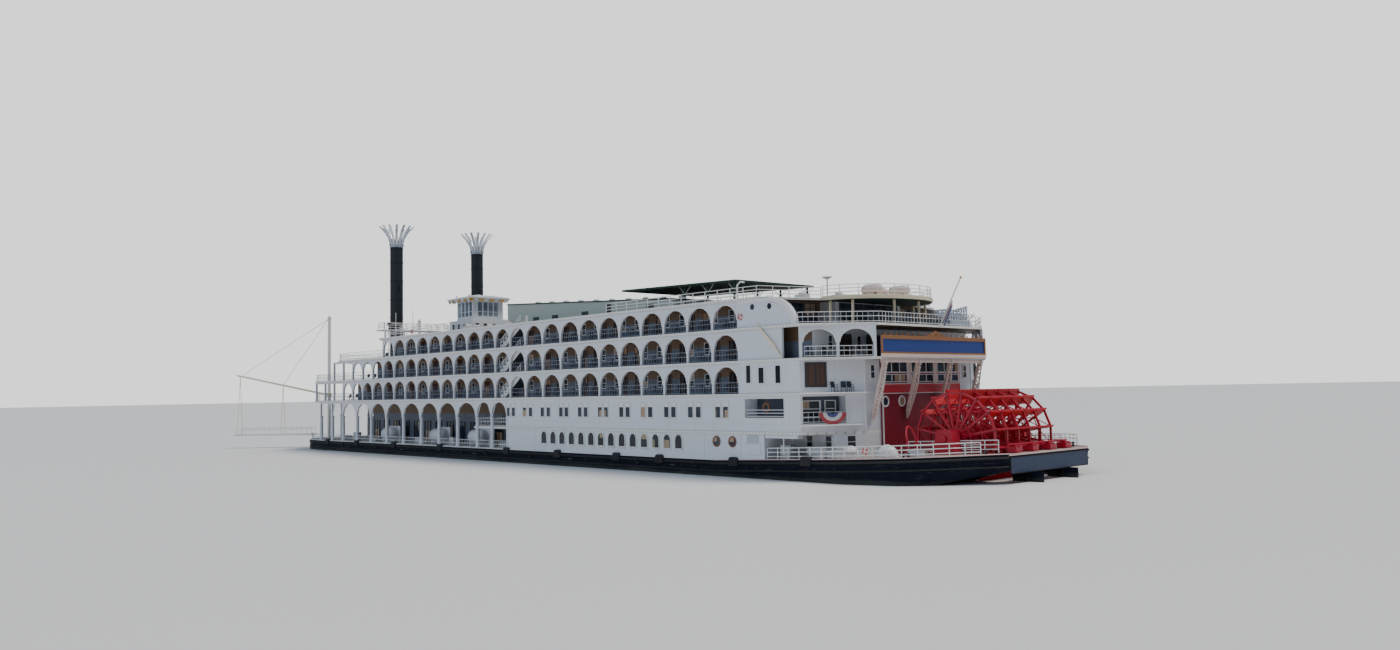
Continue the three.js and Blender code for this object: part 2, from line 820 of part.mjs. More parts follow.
// Bridge: the block under the pilothouse, and a gangway across the ship in front of it
const WING = { aft: 9440, fore: 9680, half: 1330, z: 2010, thickness: 14 };
const WING_POSTS = { x: 9459, places: [-1290, -1000, 1000, 1290] };
const BRIDGE_BLOCK = { aft: 8795, fore: 9460, half: 275 };

function bridge() {
  const { aft, fore, half } = BRIDGE_BLOCK;
  const pieces = [
    box(aft, fore, -half, half, DECK.roof, HELM.floor),
    box(WING.aft, WING.fore, -WING.half, WING.half, WING.z - WING.thickness, WING.z),
  ];
  for (const y of WING_POSTS.places) {
    pieces.push(thinPost(WING_POSTS.x, y, DECK.roof, WING.z - WING.thickness / 2));
  }
  return join(pieces);
}

// Kingpost with the collar that carries the boom
const POST_SIDES = 12;
const COLLAR = { grow: 14, height: 16 };

function kingpost() {
  const { radius, top, collar } = KINGPOST;
  const head = collar - SEAT_GAP;
  return join([
    post(radius, MAIN_DECK, top, POST_SIDES),
    post(radius + COLLAR.grow, head - COLLAR.height, head, POST_SIDES),
  ]);
}

// Boom: a sleeve round the kingpost, a rising spar and the bridles that hold the stage,
// in a frame with its origin on the kingpost's axis at the collar
const SLEEVE = { wall: 12, play: 2 };
const SPAR = { root: 32, tip: 24 }; // depths at the two ends
const BRIDLE = { spread: 85, radius: 4, foot: 7, footHeight: 14 };

function stageTop() {
  return STAGE.top - KINGPOST.collar;
}

function boomAt(x) {
  return BOOM.sleeve / 2 + x * BOOM.rise;
}

function boom() {
  const { radius } = KINGPOST;
  const sleeve = post(radius + SLEEVE.wall, 0, BOOM.sleeve, POST_SIDES);
  const bore = post(radius + SLEEVE.play, -10, BOOM.sleeve + 10, POST_SIDES);
  const root = radius + SLEEVE.wall / 2;
  const spar = panel(
    [
      [root, BOOM.sleeve / 2 - SPAR.root / 2],
      [BOOM.length, boomAt(BOOM.length) - SPAR.tip / 2],
      [BOOM.length, boomAt(BOOM.length) + SPAR.tip / 2],
      [root, BOOM.sleeve / 2 + SPAR.root / 2],
    ],
    -BOOM.thickness / 2,
    BOOM.thickness / 2,
  );
  const pieces = [cut(sleeve, [bore]), spar];
  const { spread, foot, footHeight } = BRIDLE;
  const seat = stageTop() + SEAT_GAP;
  for (const x of HANGERS) {
    for (const y of [-spread, spread]) {
      pieces.push(rod([x, 0, boomAt(x)], [x, y, seat + footHeight / 2], BRIDLE.radius, 6));
      pieces.push(box(x - foot, x + foot, y - foot, y + foot, seat, seat + footHeight));
    }
  }
  return join(pieces);
}

// Landing stage, hung level below the boom
function stage() {
  const { inner, outer, half, thickness } = STAGE;
  return box(inner, outer, -half, half, stageTop() - thickness, stageTop());
}

// Rudder: a blade on a stock, in a frame with its origin on the stock's axis
function rudder() {
  const { top, bottom, aft, fore, thickness, x } = RUDDER;
  const blade = box(aft - x, fore - x, -thickness / 2, thickness / 2, bottom, top);
  const stock = post(RUDDER.stock, bottom + 20, FANTAIL[0][2] - SEAT_GAP, POST_SIDES);
  return join([blade, stock]);
}

// Flagstaff and furled flag at the stern
const STAFF = { foot: [1128, -125, DECK.sun], top: [872, -90, 2030], radius: 6, base: 14 };

function flagstaff() {
  const { foot: [x, y, z], top, radius, base } = STAFF;
  const socket = box(x - base, x + base, y - base, y + base, z, z + base);
  return join([rod([x, y, z + base / 2], top, radius), socket]);
}

// Calliope: a rank of pipes on a chest
const CALLIOPE = { x: 1170, half: 25, aftEnd: -640, foreEnd: -320, chest: 60, pipes: 8, pitch: 40,
  first: -620, radius: 9, tallest: 190, fall: 8 };

function calliope() {
  const { x, half, aftEnd, foreEnd, chest, pipes, pitch, first, radius, tallest, fall } = CALLIOPE;
  const pieces = [box(x - half, x + half, aftEnd, foreEnd, DECK.sun, DECK.sun + chest)];
  for (let i = 0; i < pipes; i += 1) {
    const y = first + i * pitch;
    pieces.push(rod([x, y, DECK.sun + chest / 2], [x, y, DECK.sun + tallest - i * fall], radius));
  }
  return join(pieces);
}

// The scene graph

const ship = new THREE.Group();
ship.position.x = -LENGTH / 2;

function add(name, geometry, paint, parent = ship) {
  const mesh = new THREE.Mesh(geometry, new THREE.MeshStandardMaterial(PAINT[paint]));
  mesh.name = name;
  parent.add(mesh);
  return mesh;
}

// The same geometry on the other side of the ship
function mirrored(geometry) {
  const copy = geometry.clone();
  copy.scale(1, -1, 1);
  const index = copy.index ? copy.index.array : null;
  if (index) {
    for (let i = 0; i < index.length; i += 3) {
      const kept = index[i];
      index[i] = index[i + 1];
      index[i + 1] = kept;
    }
    return copy;
  }
  const positions = copy.getAttribute("position").array;
  for (let i = 0; i < positions.length; i += 9) {
    for (let axis = 0; axis < 3; axis += 1) {
      const kept = positions[i + axis];
      positions[i + axis] = positions[i + 3 + axis];
      positions[i + 3 + axis] = kept;
    }
  }
  return copy;
}

function addPair(name, geometry, paint) {
  add(`port_${name}`, geometry, paint);
  add(`starboard_${name}`, mirrored(geometry), paint);
}

add("hull", hull(), "black");
addPair("fantail", fantail(), "black");
add("transom_beam", transomBeam(), "black");
add("cabin_deck", cabinDeck(), "white");
for (const row of DECKS) add(`${row[0]}_deck`, deckPlate(row), "white");
add("fore_house", foreHouse(), "white");
add("main_house", mainHouse(), "white");
add("stern_house", sternHouse(), "white");
add("cabin_house", cabinHouse(), "white");
add("observation_quarters", cornered(QUARTERS_FORE, WALL_FACE, DECK.observation, under("texas")), "white");
for (const [name, aft, fore, half, z0, z1] of HOUSES) {
  add(name, box(aft, fore, -half, half, z0, z1), "white");
}
for (const row of GALLERIES) addPair(row[0], gallery(row), "white");
addPair("colonnade", tallColonnade(), "white");
addPair("stern_gallery", sternGallery(), "white");
addPair("stairs", sideStairs(), "white");
add("fore_portal", portal(PORTAL.x, PORTAL.posts, MAIN_DECK, under("observation")), "white");
add("roof_house", roofHouse(), "white");
add("awning", awning(), "green");
add("stern_roof", sternRoof(), "cream");
add("stern_facade", sternFacade(), "darkRed");
add("stern_sign", sternSign(), "blue");
add("stern_struts", sternStruts(), "white");
add("pilothouse", pilothouse(), "white");
add("pilothouse_roof", pilothouseRoof(), "white");
add("bridge", bridge(), "white");
add("flagstaff", flagstaff(), "white");
add("calliope", calliope(), "steel");

const wheel = add("paddle_wheel", paddleWheel(), "red");
wheel.position.set(WHEEL.x, 0, WHEEL.z);
addPair("bearing", bearing(), "red");

for (const [name, side, swing] of BOOMS) {
  const funnel = new THREE.Group();
  funnel.position.set(FUNNEL.x, side * FUNNEL.y, FUNNEL.fold);
  ship.add(funnel);
  add(`${name}_funnel_foot`, funnelFoot(), "black", funnel);
  add(`${name}_funnel`, funnelPipe(), "black", funnel);
  add(`${name}_crown`, funnelCrown(), "steel", funnel).position.z = FUNNEL.crown - FUNNEL.fold;

  const mast = add(`${name}_kingpost`, kingpost(), "white");
  mast.position.set(KINGPOST.x, side * KINGPOST.y, 0);
  const slewed = new THREE.Group();
  slewed.position.set(KINGPOST.x, side * KINGPOST.y, KINGPOST.collar);
  slewed.rotation.z = side * THREE.MathUtils.degToRad(swing);
  ship.add(slewed);
  add(`${name}_boom`, boom(), "cream", slewed);
  add(`${name}_stage`, stage(), "white", slewed);

  const blade = add(`${name}_rudder`, rudder(), "black");
  blade.position.set(RUDDER.x, side * RUDDER.y, 0);
}

export default ship;
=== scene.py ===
"""A stern-wheel paddle steamer at one tenth of its real size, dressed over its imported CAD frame.

Sizes in the classes are millimetres, measured forward of the transom, to port of the centreline
and up from the flat bottom, as in the part's source. Maker.finish turns them into the frame's metres.
"""
import logging
from dataclasses import dataclass, field
from enum import Enum
from math import cos, degrees, pi, radians, sin
from typing import Callable, Iterable, Sequence

import bmesh
import bpy
from mathutils import Matrix, Vector


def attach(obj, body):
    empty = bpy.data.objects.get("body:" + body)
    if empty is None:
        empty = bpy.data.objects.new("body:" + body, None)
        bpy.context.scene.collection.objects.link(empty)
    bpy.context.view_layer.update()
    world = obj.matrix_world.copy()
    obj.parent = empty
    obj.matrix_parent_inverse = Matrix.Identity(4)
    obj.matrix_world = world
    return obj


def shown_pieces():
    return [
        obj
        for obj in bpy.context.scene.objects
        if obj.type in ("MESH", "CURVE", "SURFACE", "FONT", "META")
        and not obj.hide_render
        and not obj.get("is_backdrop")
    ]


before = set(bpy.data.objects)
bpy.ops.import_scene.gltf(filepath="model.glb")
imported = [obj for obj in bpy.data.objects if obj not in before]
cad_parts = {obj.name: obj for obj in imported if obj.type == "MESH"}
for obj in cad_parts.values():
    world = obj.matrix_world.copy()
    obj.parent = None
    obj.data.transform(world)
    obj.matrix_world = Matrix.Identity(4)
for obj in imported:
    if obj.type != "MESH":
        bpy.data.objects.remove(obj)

log = logging.getLogger("steamer")

Pair = tuple[float, float]
Pairs = Sequence[Pair]
Point = tuple[float, float, float]
Line = Sequence[Point]
Lines = Iterable[Line]
Row = tuple[float, ...]
Colour = tuple[float, float, float]

TRANSOM = -6.370  # the transom's place along the frame's X axis, in metres
WATERLINE = 0.26  # height of the water over the flat bottom, in metres
SHIP = "ship"
WHITE = "white_paint"
UP = (0, 0, 1)
PORTWARD = (0, 1, 0)
FORWARD = (1, 0, 0)
SIDES = (1, -1)
NAMED_SIDES = ((1, "port"), (-1, "starboard"))

MAIN_DECK = 406.0
SHEER_START = 2600.0
SHEER_RISE = 94.0
DECK = {"cabin": 675.0, "observation": 1017.0, "texas": 1318.0, "sun": 1614.0, "roof": 1888.0}
DECK_THICKNESS = 20.0
FRONTS = {"observation": (11600, 12380, 450), "texas": (11600, 12340, 450), "sun": (10760, 11450, 450),
          "roof": (9480, 9720, 900)}  # where each deck's curve begins, its fore end and half its nose
FRONT_INSET = 22  # from a deck's rounded edge to its rail
HALF_BEAM = 1360.0
WALL = 1352.0
GALLERY_WALL = 1190.0
PANEL_FACE = 1348.0
RAIL_LINE = 1336.0  # the galleries' rails and capitals, to port of the centreline
ROOF_RAIL = 1322.0
LACE_FACE = 1345.5
STERN_WALL = 1559.5  # the texas house's aft wall
STAND = 0.5  # chairs stand this much over a deck's CAD height
SEAT = 0.4
POST_WIDTH = 26.0
ARCH_BEAM = 26.0  # depth of the beam over the arches
POSTS = [10730.0 - 328.0 * i for i in range(-3, 16)] + [5810.0 - 351.0 * i for i in range(1, 11)]
TALL_POSTS = [11540.0, 11130.0, 10750.0, 10270.0, 9810.0, 9330.0, 8830.0, 8330.0, 7850.0, 7380.0,
              6900.0, 6560.0, 6213.0]


def main_deck_at(x: float) -> float:
    """Return the main deck's height in millimetres, with its sheer aft of SHEER_START."""
    return MAIN_DECK + SHEER_RISE * max(0.0, SHEER_START - x) / SHEER_START


def under(deck: str) -> float:
    """Return the height of the underside of a deck in millimetres."""
    return DECK[deck] - DECK_THICKNESS


def metres(x: float, y: float, z: float) -> Vector:
    """Return a place given in millimetres from the transom as a point of the frame in metres."""
    return Vector((x / 1000 + TRANSOM, y / 1000, z / 1000))


def placed(name: str, data: bpy.types.ID) -> bpy.types.Object:
    """Put a new object into the scene.

    Args:
        name: The object's name.
        data: Its mesh, light or camera.

    Returns:
        The object.
    """
    made = bpy.data.objects.new(name, data)
    bpy.context.scene.collection.objects.link(made)
    return made


def sweep(end: float, steps: int) -> list[float]:
    """Return the angles from 0 to an end in even steps, both ends among them."""
    return [end * k / steps for k in range(steps + 1)]


def turns(steps: int) -> list[float]:
    """Return the angles of one whole turn in even steps."""
    return sweep(2 * pi, steps)[:-1]


class Nodes:
    """A node tree in the making, with one method that adds any node."""

    def __init__(self, tree: bpy.types.NodeTree) -> None:
        """Start on an empty tree."""
        self.tree = tree
        self.column = 0

    def node(self, kind: str, settings: dict | None = None, **inputs: object) -> bpy.types.Node:
        """Add a node, with its settings made before its inputs.

        Args:
            kind: The node's type.
            settings: Properties such as an operation.
            inputs: Values or links by socket name, with _ for a space, or i0, i1 for places.

        Returns:
            The node.
        """
        made = self.tree.nodes.new(kind)
        self.column += 1
        made.location = (self.column % 12 * 180, -(self.column // 12) * 260)
        for key, value in (settings or {}).items():
            setattr(made, key, value)
        for key, value in inputs.items():
            if key[0] == "i" and key[1:].isdigit():
                socket = made.inputs[int(key[1:])]
            else:
                name = key.replace("_", " ")
                socket = next(s for s in made.inputs if s.name == name and s.enabled)
            link = value.out if isinstance(value, Socket) else value
            if isinstance(link, bpy.types.NodeSocket):
                self.tree.links.new(link, socket)
            elif socket.type == "RGBA":
                socket.default_value = (*value, 1.0)
            else:
                socket.default_value = value
        return made


class Shader(Nodes):
    """The tree of a material."""

    def __init__(self, name: str) -> None:
        """Start an empty material.

        Args:
            name: The material's name.
        """
        self.material = bpy.data.materials.new(name)
        self.material.use_nodes = True
        super().__init__(self.material.node_tree)
        self.tree.nodes.clear()

    def value(self, kind: str, output: str | int, settings: dict | None = None,
              **inputs: object) -> "Socket":
        """Add a node as node() does and return one of its outputs wrapped for arithmetic."""
        return Socket(self, self.node(kind, settings, **inputs).outputs[output])

    def place(self) -> "Socket":
        """Return the Object coordinates."""
        return self.value("ShaderNodeTexCoord", "Object")

    def axes(self) -> tuple["Socket", "Socket", "Socket"]:
        """Return the three Object coordinates as numbers."""
        split = self.node("ShaderNodeSeparateXYZ", None, Vector=self.place())
        return tuple(Socket(self, split.outputs[i]) for i in range(3))

    def facing(self) -> "Socket":
        """Return the upward part of the surface's normal, from -1 to 1."""
        normal = self.value("ShaderNodeNewGeometry", "Normal")
        return self.value("ShaderNodeSeparateXYZ", "Z", None, Vector=normal)

    def stretched(self, scale: Point) -> "Socket":
        """Return the Object coordinates scaled along each axis."""
        return self.value("ShaderNodeMapping", "Vector", None, Vector=self.place(), Scale=scale)

    def noise(self, scale: float, detail: float = 3.0, stretch: Point = (1, 1, 1)) -> "Socket":
        """Return a noise from 0 to 1 on the Object coordinates."""
        return self.value("ShaderNodeTexNoise", 0, None, Vector=self.stretched(stretch), Scale=scale,
                          Detail=detail, Roughness=0.55)

    def mix(self, factor: object, first: object, second: object) -> "Socket":
        """Return two colours mixed by a factor."""
        return self.value("ShaderNodeMix", 2, {"data_type": "RGBA"}, i0=factor, i6=first, i7=second)

    def bump(self, height: "Socket", distance: float, strength: float = 0.6) -> "Socket":
        """Return a Normal from a height, with the bump's distance in metres."""
        return self.value("ShaderNodeBump", "Normal", None, Height=height, Distance=distance,
                          Strength=strength)

    def surface(self, **inputs: object) -> bpy.types.Material:
        """Close the material with a Principled shader and return it.

        Args:
            inputs: Values or links of the shader's sockets, with _ for a space.

        Returns:
            The finished material.
        """
        shader = self.node("ShaderNodeBsdfPrincipled", None, **inputs)
        self.node("ShaderNodeOutputMaterial", None, Surface=shader.outputs[0])
        return self.material


class Socket:
    """An output of a shader node that takes part in Python arithmetic."""

    def __init__(self, shader: Shader, out: bpy.types.NodeSocket) -> None:
        """Wrap an output of one of the shader's nodes."""
        self.shader = shader
        self.out = out

    def math(self, operation: str, *others: object) -> "Socket":
        """Return a Math node's output on this socket and other values or sockets."""
        inputs = {f"i{n}": value for n, value in enumerate((self, *others))}
        return self.shader.value("ShaderNodeMath", 0, {"operation": operation}, **inputs)

    def __add__(self, other: object) -> "Socket":
        """Return this plus another."""
        return self.math("ADD", other)

    __radd__ = __add__

    def __sub__(self, other: object) -> "Socket":
        """Return this minus another."""
        return self.math("SUBTRACT", other)

    def __rsub__(self, other: float) -> "Socket":
        """Return a number minus this."""
        return (self * -1.0) + other

    def __mul__(self, other: object) -> "Socket":
        """Return this times another."""
        return self.math("MULTIPLY", other)

    __rmul__ = __mul__

    def __truediv__(self, other: object) -> "Socket":
        """Return this divided by another."""
        return self.math("DIVIDE", other)

    def __gt__(self, other: object) -> "Socket":
        """Return 1 where this is the greater, else 0."""
        return self.math("GREATER_THAN", other)

    def __lt__(self, other: object) -> "Socket":
        """Return 1 where this is the lesser, else 0."""
        return self.math("LESS_THAN", other)

    def __abs__(self) -> "Socket":
        """Return the distance from 0."""
        return self.math("ABSOLUTE")

    def smooth(self, low: float, high: float) -> "Socket":
        """Return 0 below low, 1 over high and a smooth step between."""
        return self.shader.value("ShaderNodeMapRange", 0, {"interpolation_type": "SMOOTHSTEP"},
                                 Value=self, From_Min=low, From_Max=high)

    def seam(self, pitch: float, width: float, start: float = 0.0) -> "Socket":
        """Return 1 on thin lines that repeat at a pitch along this coordinate, else 0."""
        place = ((self - start) / pitch).math("FRACT")
        return abs(place - 0.5) > 0.5 - width / pitch / 2


@dataclass(frozen=True)
class Enamel:
    """Paint on plates: seams, rain streaks, dirt low down and fine brush marks."""

    name: str
    colour: Colour
    grime: Colour = (0.42, 0.38, 0.33)
    plate: Pair = (0.62, 0.17)
    streaks: float = 0.22
    rough: float = 0.32

    def material(self) -> bpy.types.Material:
        """Build the material.

        Returns:
            The material.
        """
        s = Shader(self.name)
        x, _, z = s.axes()
        seams = x.seam(self.plate[0], 0.003) + z.seam(self.plate[1], 0.003, 0.406)
        rain = s.noise(9.0, 4.0, (5.0, 5.0, 0.35)).smooth(0.52, 0.78)
        cloud = s.noise(1.7, 3.0)
        speck = s.noise(60.0, 2.0).smooth(0.62, 0.8)
        base = s.mix(cloud * 0.10, self.colour, tuple(0.86 * c for c in self.colour))
        base = s.mix(rain * self.streaks, base, self.grime)
        base = s.mix(speck * 0.10, base, self.grime)
        base = s.mix(seams.math("MINIMUM", 1.0) * 0.22, base, self.grime)
        height = cloud * 0.4 - seams + s.noise(140.0, 2.0) * 0.2
        return s.surface(Base_Color=base, Roughness=s.noise(11.0) * 0.22 + self.rough,
                         Normal=s.bump(height, 0.0012))


@dataclass(frozen=True)
class GalleryWall:
    """The walls behind the galleries: boards whose dark blue-grey is painted shade, with a warm wood band
    high up that carries painted warm light.
    """

    name: str = "gallery_wall"
    # The boards' dark blue-grey is painted shade, standing in for the shade under the decks above.
    paint: Colour = (0.135, 0.165, 0.235)
    # The band's warm brown is wood grain with painted warm light on it.
    wood_and_painted_light: Colour = (0.235, 0.15, 0.09)
    bands: Pairs = ((0.997, 0.18), (1.298, 0.12), (1.594, 0.12), (1.868, 0.11))

    def material(self) -> bpy.types.Material:
        """Build the material.

        Returns:
            The material.
        """
        s = Shader(self.name)
        x, _, z = s.axes()
        warm = None
        for top, depth in self.bands:
            here = (z > top - depth) * (z < top + 0.001)
            warm = here if warm is None else warm + here
        boards = z.seam(0.014, 0.0022)
        grain = s.noise(30.0, 4.0, (0.4, 0.4, 6.0))
        wood_and_painted_light = s.mix(grain, tuple(c * 0.65 for c in self.wood_and_painted_light), self.wood_and_painted_light)
        paint = s.mix(s.noise(3.0) * 0.3, self.paint, (0.25, 0.29, 0.36))
        paint = s.mix(boards * 0.25, paint, (0.22, 0.24, 0.28))
        panel = x.seam(0.082, 0.006)
        wood_and_painted_light = s.mix(panel * 0.7, wood_and_painted_light, (0.16, 0.09, 0.05))
        # Painted shade low on the wall, painted warm light in the bands near each ceiling.
        base = s.mix(warm, paint, wood_and_painted_light)
        return s.surface(Base_Color=base, Roughness=s.noise(20.0) * 0.2 + 0.35,
                         Normal=s.bump(boards * -1.0 + panel * -0.6, 0.002))


@dataclass(frozen=True)
class DeckPlate:
    """A deck: planks on top, a ceiling below whose dark brown is partly varnish and partly painted shade,
    and a painted edge.
    """

    name: str
    top: Colour = (0.36, 0.33, 0.29)
    # The ceiling's dark brown is varnish darkened with painted shade.
    shaded_ceiling: Colour = (0.20, 0.125, 0.07)
    edge: Colour = (0.88, 0.87, 0.84)
    plank: float = 0.014

    def material(self) -> bpy.types.Material:
        """Build the material.

        Returns:
            The material.
        """
        s = Shader(self.name)
        x, y, _ = s.axes()
        up = s.facing()
        caulk = y.seam(self.plank, 0.0018)
        row = (y / self.plank).math("FLOOR")
        joints = (x + row * 0.173).seam(0.42, 0.002)
        grain = s.noise(26.0, 4.0, (0.25, 7.0, 1.0))
        tone = s.noise(1.3, 2.0)
        planks = s.mix(grain * 0.5, self.top, tuple(c * 0.72 for c in self.top))
        planks = s.mix(tone * 0.4, planks, (0.30, 0.31, 0.31))
        planks = s.mix((caulk + joints).math("MINIMUM", 1.0) * 0.7, planks, (0.05, 0.05, 0.05))
        boards = x.seam(0.030, 0.003)
        # The ceiling: grain on a brown darkened with painted shade.
        wood_and_painted_light = s.mix(grain, tuple(c * 0.7 for c in self.shaded_ceiling), self.shaded_ceiling)
        wood_and_painted_light = s.mix(boards * 0.6, wood_and_painted_light, (0.12, 0.07, 0.04))
        dots = x.seam(0.040, 0.012) * 0.6
        paint = s.mix(dots, self.edge, (0.45, 0.42, 0.38))
        paint = s.mix(s.noise(14.0, 3.0, (4, 4, 1)).smooth(0.55, 0.8) * 0.3, paint, (0.40, 0.34, 0.28))
        base = s.mix(up > 0.5, paint, planks)
        base = s.mix(up < -0.5, base, wood_and_painted_light)
        return s.surface(Base_Color=base, Roughness=grain * 0.2 + 0.42,
                         Normal=s.bump((caulk + boards) * -1.0, 0.0012))


@dataclass(frozen=True)
class HullPaint:
    """Black hull paint: plate seams, scrapes, dull stains and red antifouling under water."""

    name: str = "hull_paint"
    colour: Colour = (0.006, 0.008, 0.018)
    scrape: Colour = (0.07, 0.07, 0.08)
    bottom: Colour = (0.20, 0.055, 0.035)
    deck: Colour = (0.34, 0.30, 0.28)

    def material(self) -> bpy.types.Material:
        """Build the material.

        Returns:
            The material.
        """
        s = Shader(self.name)
        x, y, z = s.axes()
        wave = s.noise(1.6, 3.0, (1.0, 1.0, 0.0)) * 0.07
        stain = (z - wave).smooth(0.275, 0.235)
        seams = x.seam(0.60, 0.0035) + z.seam(0.088, 0.0035, 0.05)
        scratch = s.noise(15.0, 5.0, (0.6, 0.6, 7.0)).smooth(0.60, 0.70)
        patches = s.noise(2.1, 4.0).smooth(0.5, 0.75)
        runs = s.noise(10.0, 4.0, (6.0, 6.0, 0.25)).smooth(0.56, 0.8)
        base = s.mix(patches * 0.7, self.colour, (0.013, 0.017, 0.030))
        base = s.mix(scratch * 0.55, base, self.scrape)
        base = s.mix(runs * 0.35, base, (0.05, 0.042, 0.04))
        base = s.mix(stain * 0.85, base, (0.05, 0.055, 0.05))
        base = s.mix(z.smooth(0.262, 0.255), base, self.bottom)
        top = s.facing() > 0.7
        plank = s.mix(s.noise(8.0), self.deck, (0.42, 0.36, 0.33))
        plank = s.mix(y.seam(0.020, 0.002) * 0.6, plank, (0.08, 0.07, 0.07))
        base = s.mix(top * (z > 0.35), base, plank)
        height = seams * -0.6 + patches * 0.5 + s.noise(3.0) * 1.2
        return s.surface(Base_Color=base, Roughness=s.noise(6.0, 4.0) * 0.3 + 0.42,
                         Specular_IOR_Level=0.08, Normal=s.bump(height, 0.004))


@dataclass(frozen=True)
class Planks:
    """Painted upright or level boards with gaps between them."""

    name: str
    colour: Colour
    board: float = 0.030
    upright: bool = True
    along_y: bool = True
    dull: Colour = (0.10, 0.05, 0.05)

    def material(self) -> bpy.types.Material:
        """Build the material.

        Returns:
            The material.
        """
        s = Shader(self.name)
        x, y, z = s.axes()
        across = (y if self.along_y else x) if self.upright else z
        gap = across.seam(self.board, 0.003)
        row = (across / self.board).math("FLOOR")
        tone = s.value("ShaderNodeTexWhiteNoise", "Value", {"noise_dimensions": "1D"}, W=row)
        grain = s.noise(22.0, 4.0, (4.0, 4.0, 0.5) if self.upright else (0.5, 0.5, 4.0))
        base = s.mix(tone * 0.35, self.colour, tuple(c * 0.72 for c in self.colour))
        base = s.mix(grain.smooth(0.5, 0.8) * 0.25, base, self.dull)
        base = s.mix(gap * 0.8, base, tuple(c * 0.2 for c in self.colour))
        return s.surface(Base_Color=base, Roughness=grain * 0.25 + 0.32,
                         Normal=s.bump(gap * -1.0 + grain * 0.2, 0.003))


@dataclass(frozen=True)
class Gloss:
    """Plain glossy or matt paint with mottling, rivet-like specks and worn spots."""

    name: str
    colour: Colour
    worn: Colour = (0.3, 0.3, 0.3)
    wear: float = 0.15
    rough: float = 0.35
    metal: float = 0.0
    grain: float = 24.0
    coat: float = 0.0
    gloss: float = 0.5

    def material(self) -> bpy.types.Material:
        """Build the material.

        Returns:
            The material.
        """
        s = Shader(self.name)
        cloud = s.noise(self.grain, 4.0)
        spots = s.noise(self.grain * 3.1, 3.0).smooth(0.6, 0.78)
        base = s.mix(cloud * 0.35, self.colour, tuple(c * 0.7 for c in self.colour))
        base = s.mix(spots * self.wear, base, self.worn)
        return s.surface(Base_Color=base, Roughness=cloud * 0.2 + (self.rough - 0.1),
                         Metallic=self.metal, Coat_Weight=self.coat, Specular_IOR_Level=self.gloss,
                         Normal=s.bump(cloud + s.noise(self.grain * 5.0) * 0.3, 0.0012))


@dataclass(frozen=True)
class Glass:
    """Dark panes with a painted sky reflection, and warm cloth behind some of them."""

    name: str
    dark: Colour = (0.012, 0.018, 0.030)
    # The sky colour is a painted reflection of the sky.
    sky: Colour = (0.05, 0.075, 0.115)
    warm: Colour = (0.42, 0.24, 0.12)
    share: float = 0.84
    cell: float = 0.112

    def material(self) -> bpy.types.Material:
        """Build the material.

        Returns:
            The material.
        """
        s = Shader(self.name)
        x, y, z = s.axes()
        column = ((x + y * 0.71) / self.cell).math("FLOOR")
        storey = (z / 0.29).math("FLOOR")
        pick = s.value("ShaderNodeTexWhiteNoise", "Value", {"noise_dimensions": "1D"},
                       W=column * 1.37 + storey * 7.91)
        fold = s.noise(36.0, 2.0, (3.0, 3.0, 0.2))
        curtain = (pick > self.share) * 0.75
        # Patches of painted sky reflection over the dark panes.
        painted_reflection = s.noise(4.0, 2.0).smooth(0.35, 0.75)
        base = s.mix(painted_reflection * 0.8, self.dark, self.sky)
        cloth = s.mix(fold, self.warm, (0.62, 0.50, 0.36))
        base = s.mix(curtain, base, cloth)
        return s.surface(Base_Color=base, Roughness=fold * 0.05 + 0.06, IOR=1.33,
                         Coat_Weight=0.12, Normal=s.bump(s.noise(7.0, 1.0), 0.002, 0.3))


@dataclass(frozen=True)
class Striped:
    """Cloth or a ring in stripes of two or three colours along a stored coordinate."""

    name: str
    colours: tuple[Colour, ...]
    attribute: str = "stripe"
    rough: float = 0.7
    weave: float = 900.0

    def material(self) -> bpy.types.Material:
        """Build the material. The attribute runs from 0 to 1 for each round of the colours.

        Returns:
            The material.
        """
        s = Shader(self.name)
        across = s.value("ShaderNodeAttribute", "Fac", {"attribute_name": self.attribute})
        place = across.math("FRACT")
        base = s.mix(0.0, self.colours[0], self.colours[0])
        for n, colour in enumerate(self.colours[1:], 1):
            base = s.mix(place > n / len(self.colours), base, colour)
        worn = s.noise(40.0, 3.0)
        base = s.mix(worn * 0.35, base, (0.35, 0.33, 0.32))
        return s.surface(Base_Color=base, Roughness=worn * 0.2 + self.rough - 0.1,
                         Normal=s.bump(s.noise(self.weave, 1.0), 0.0006))


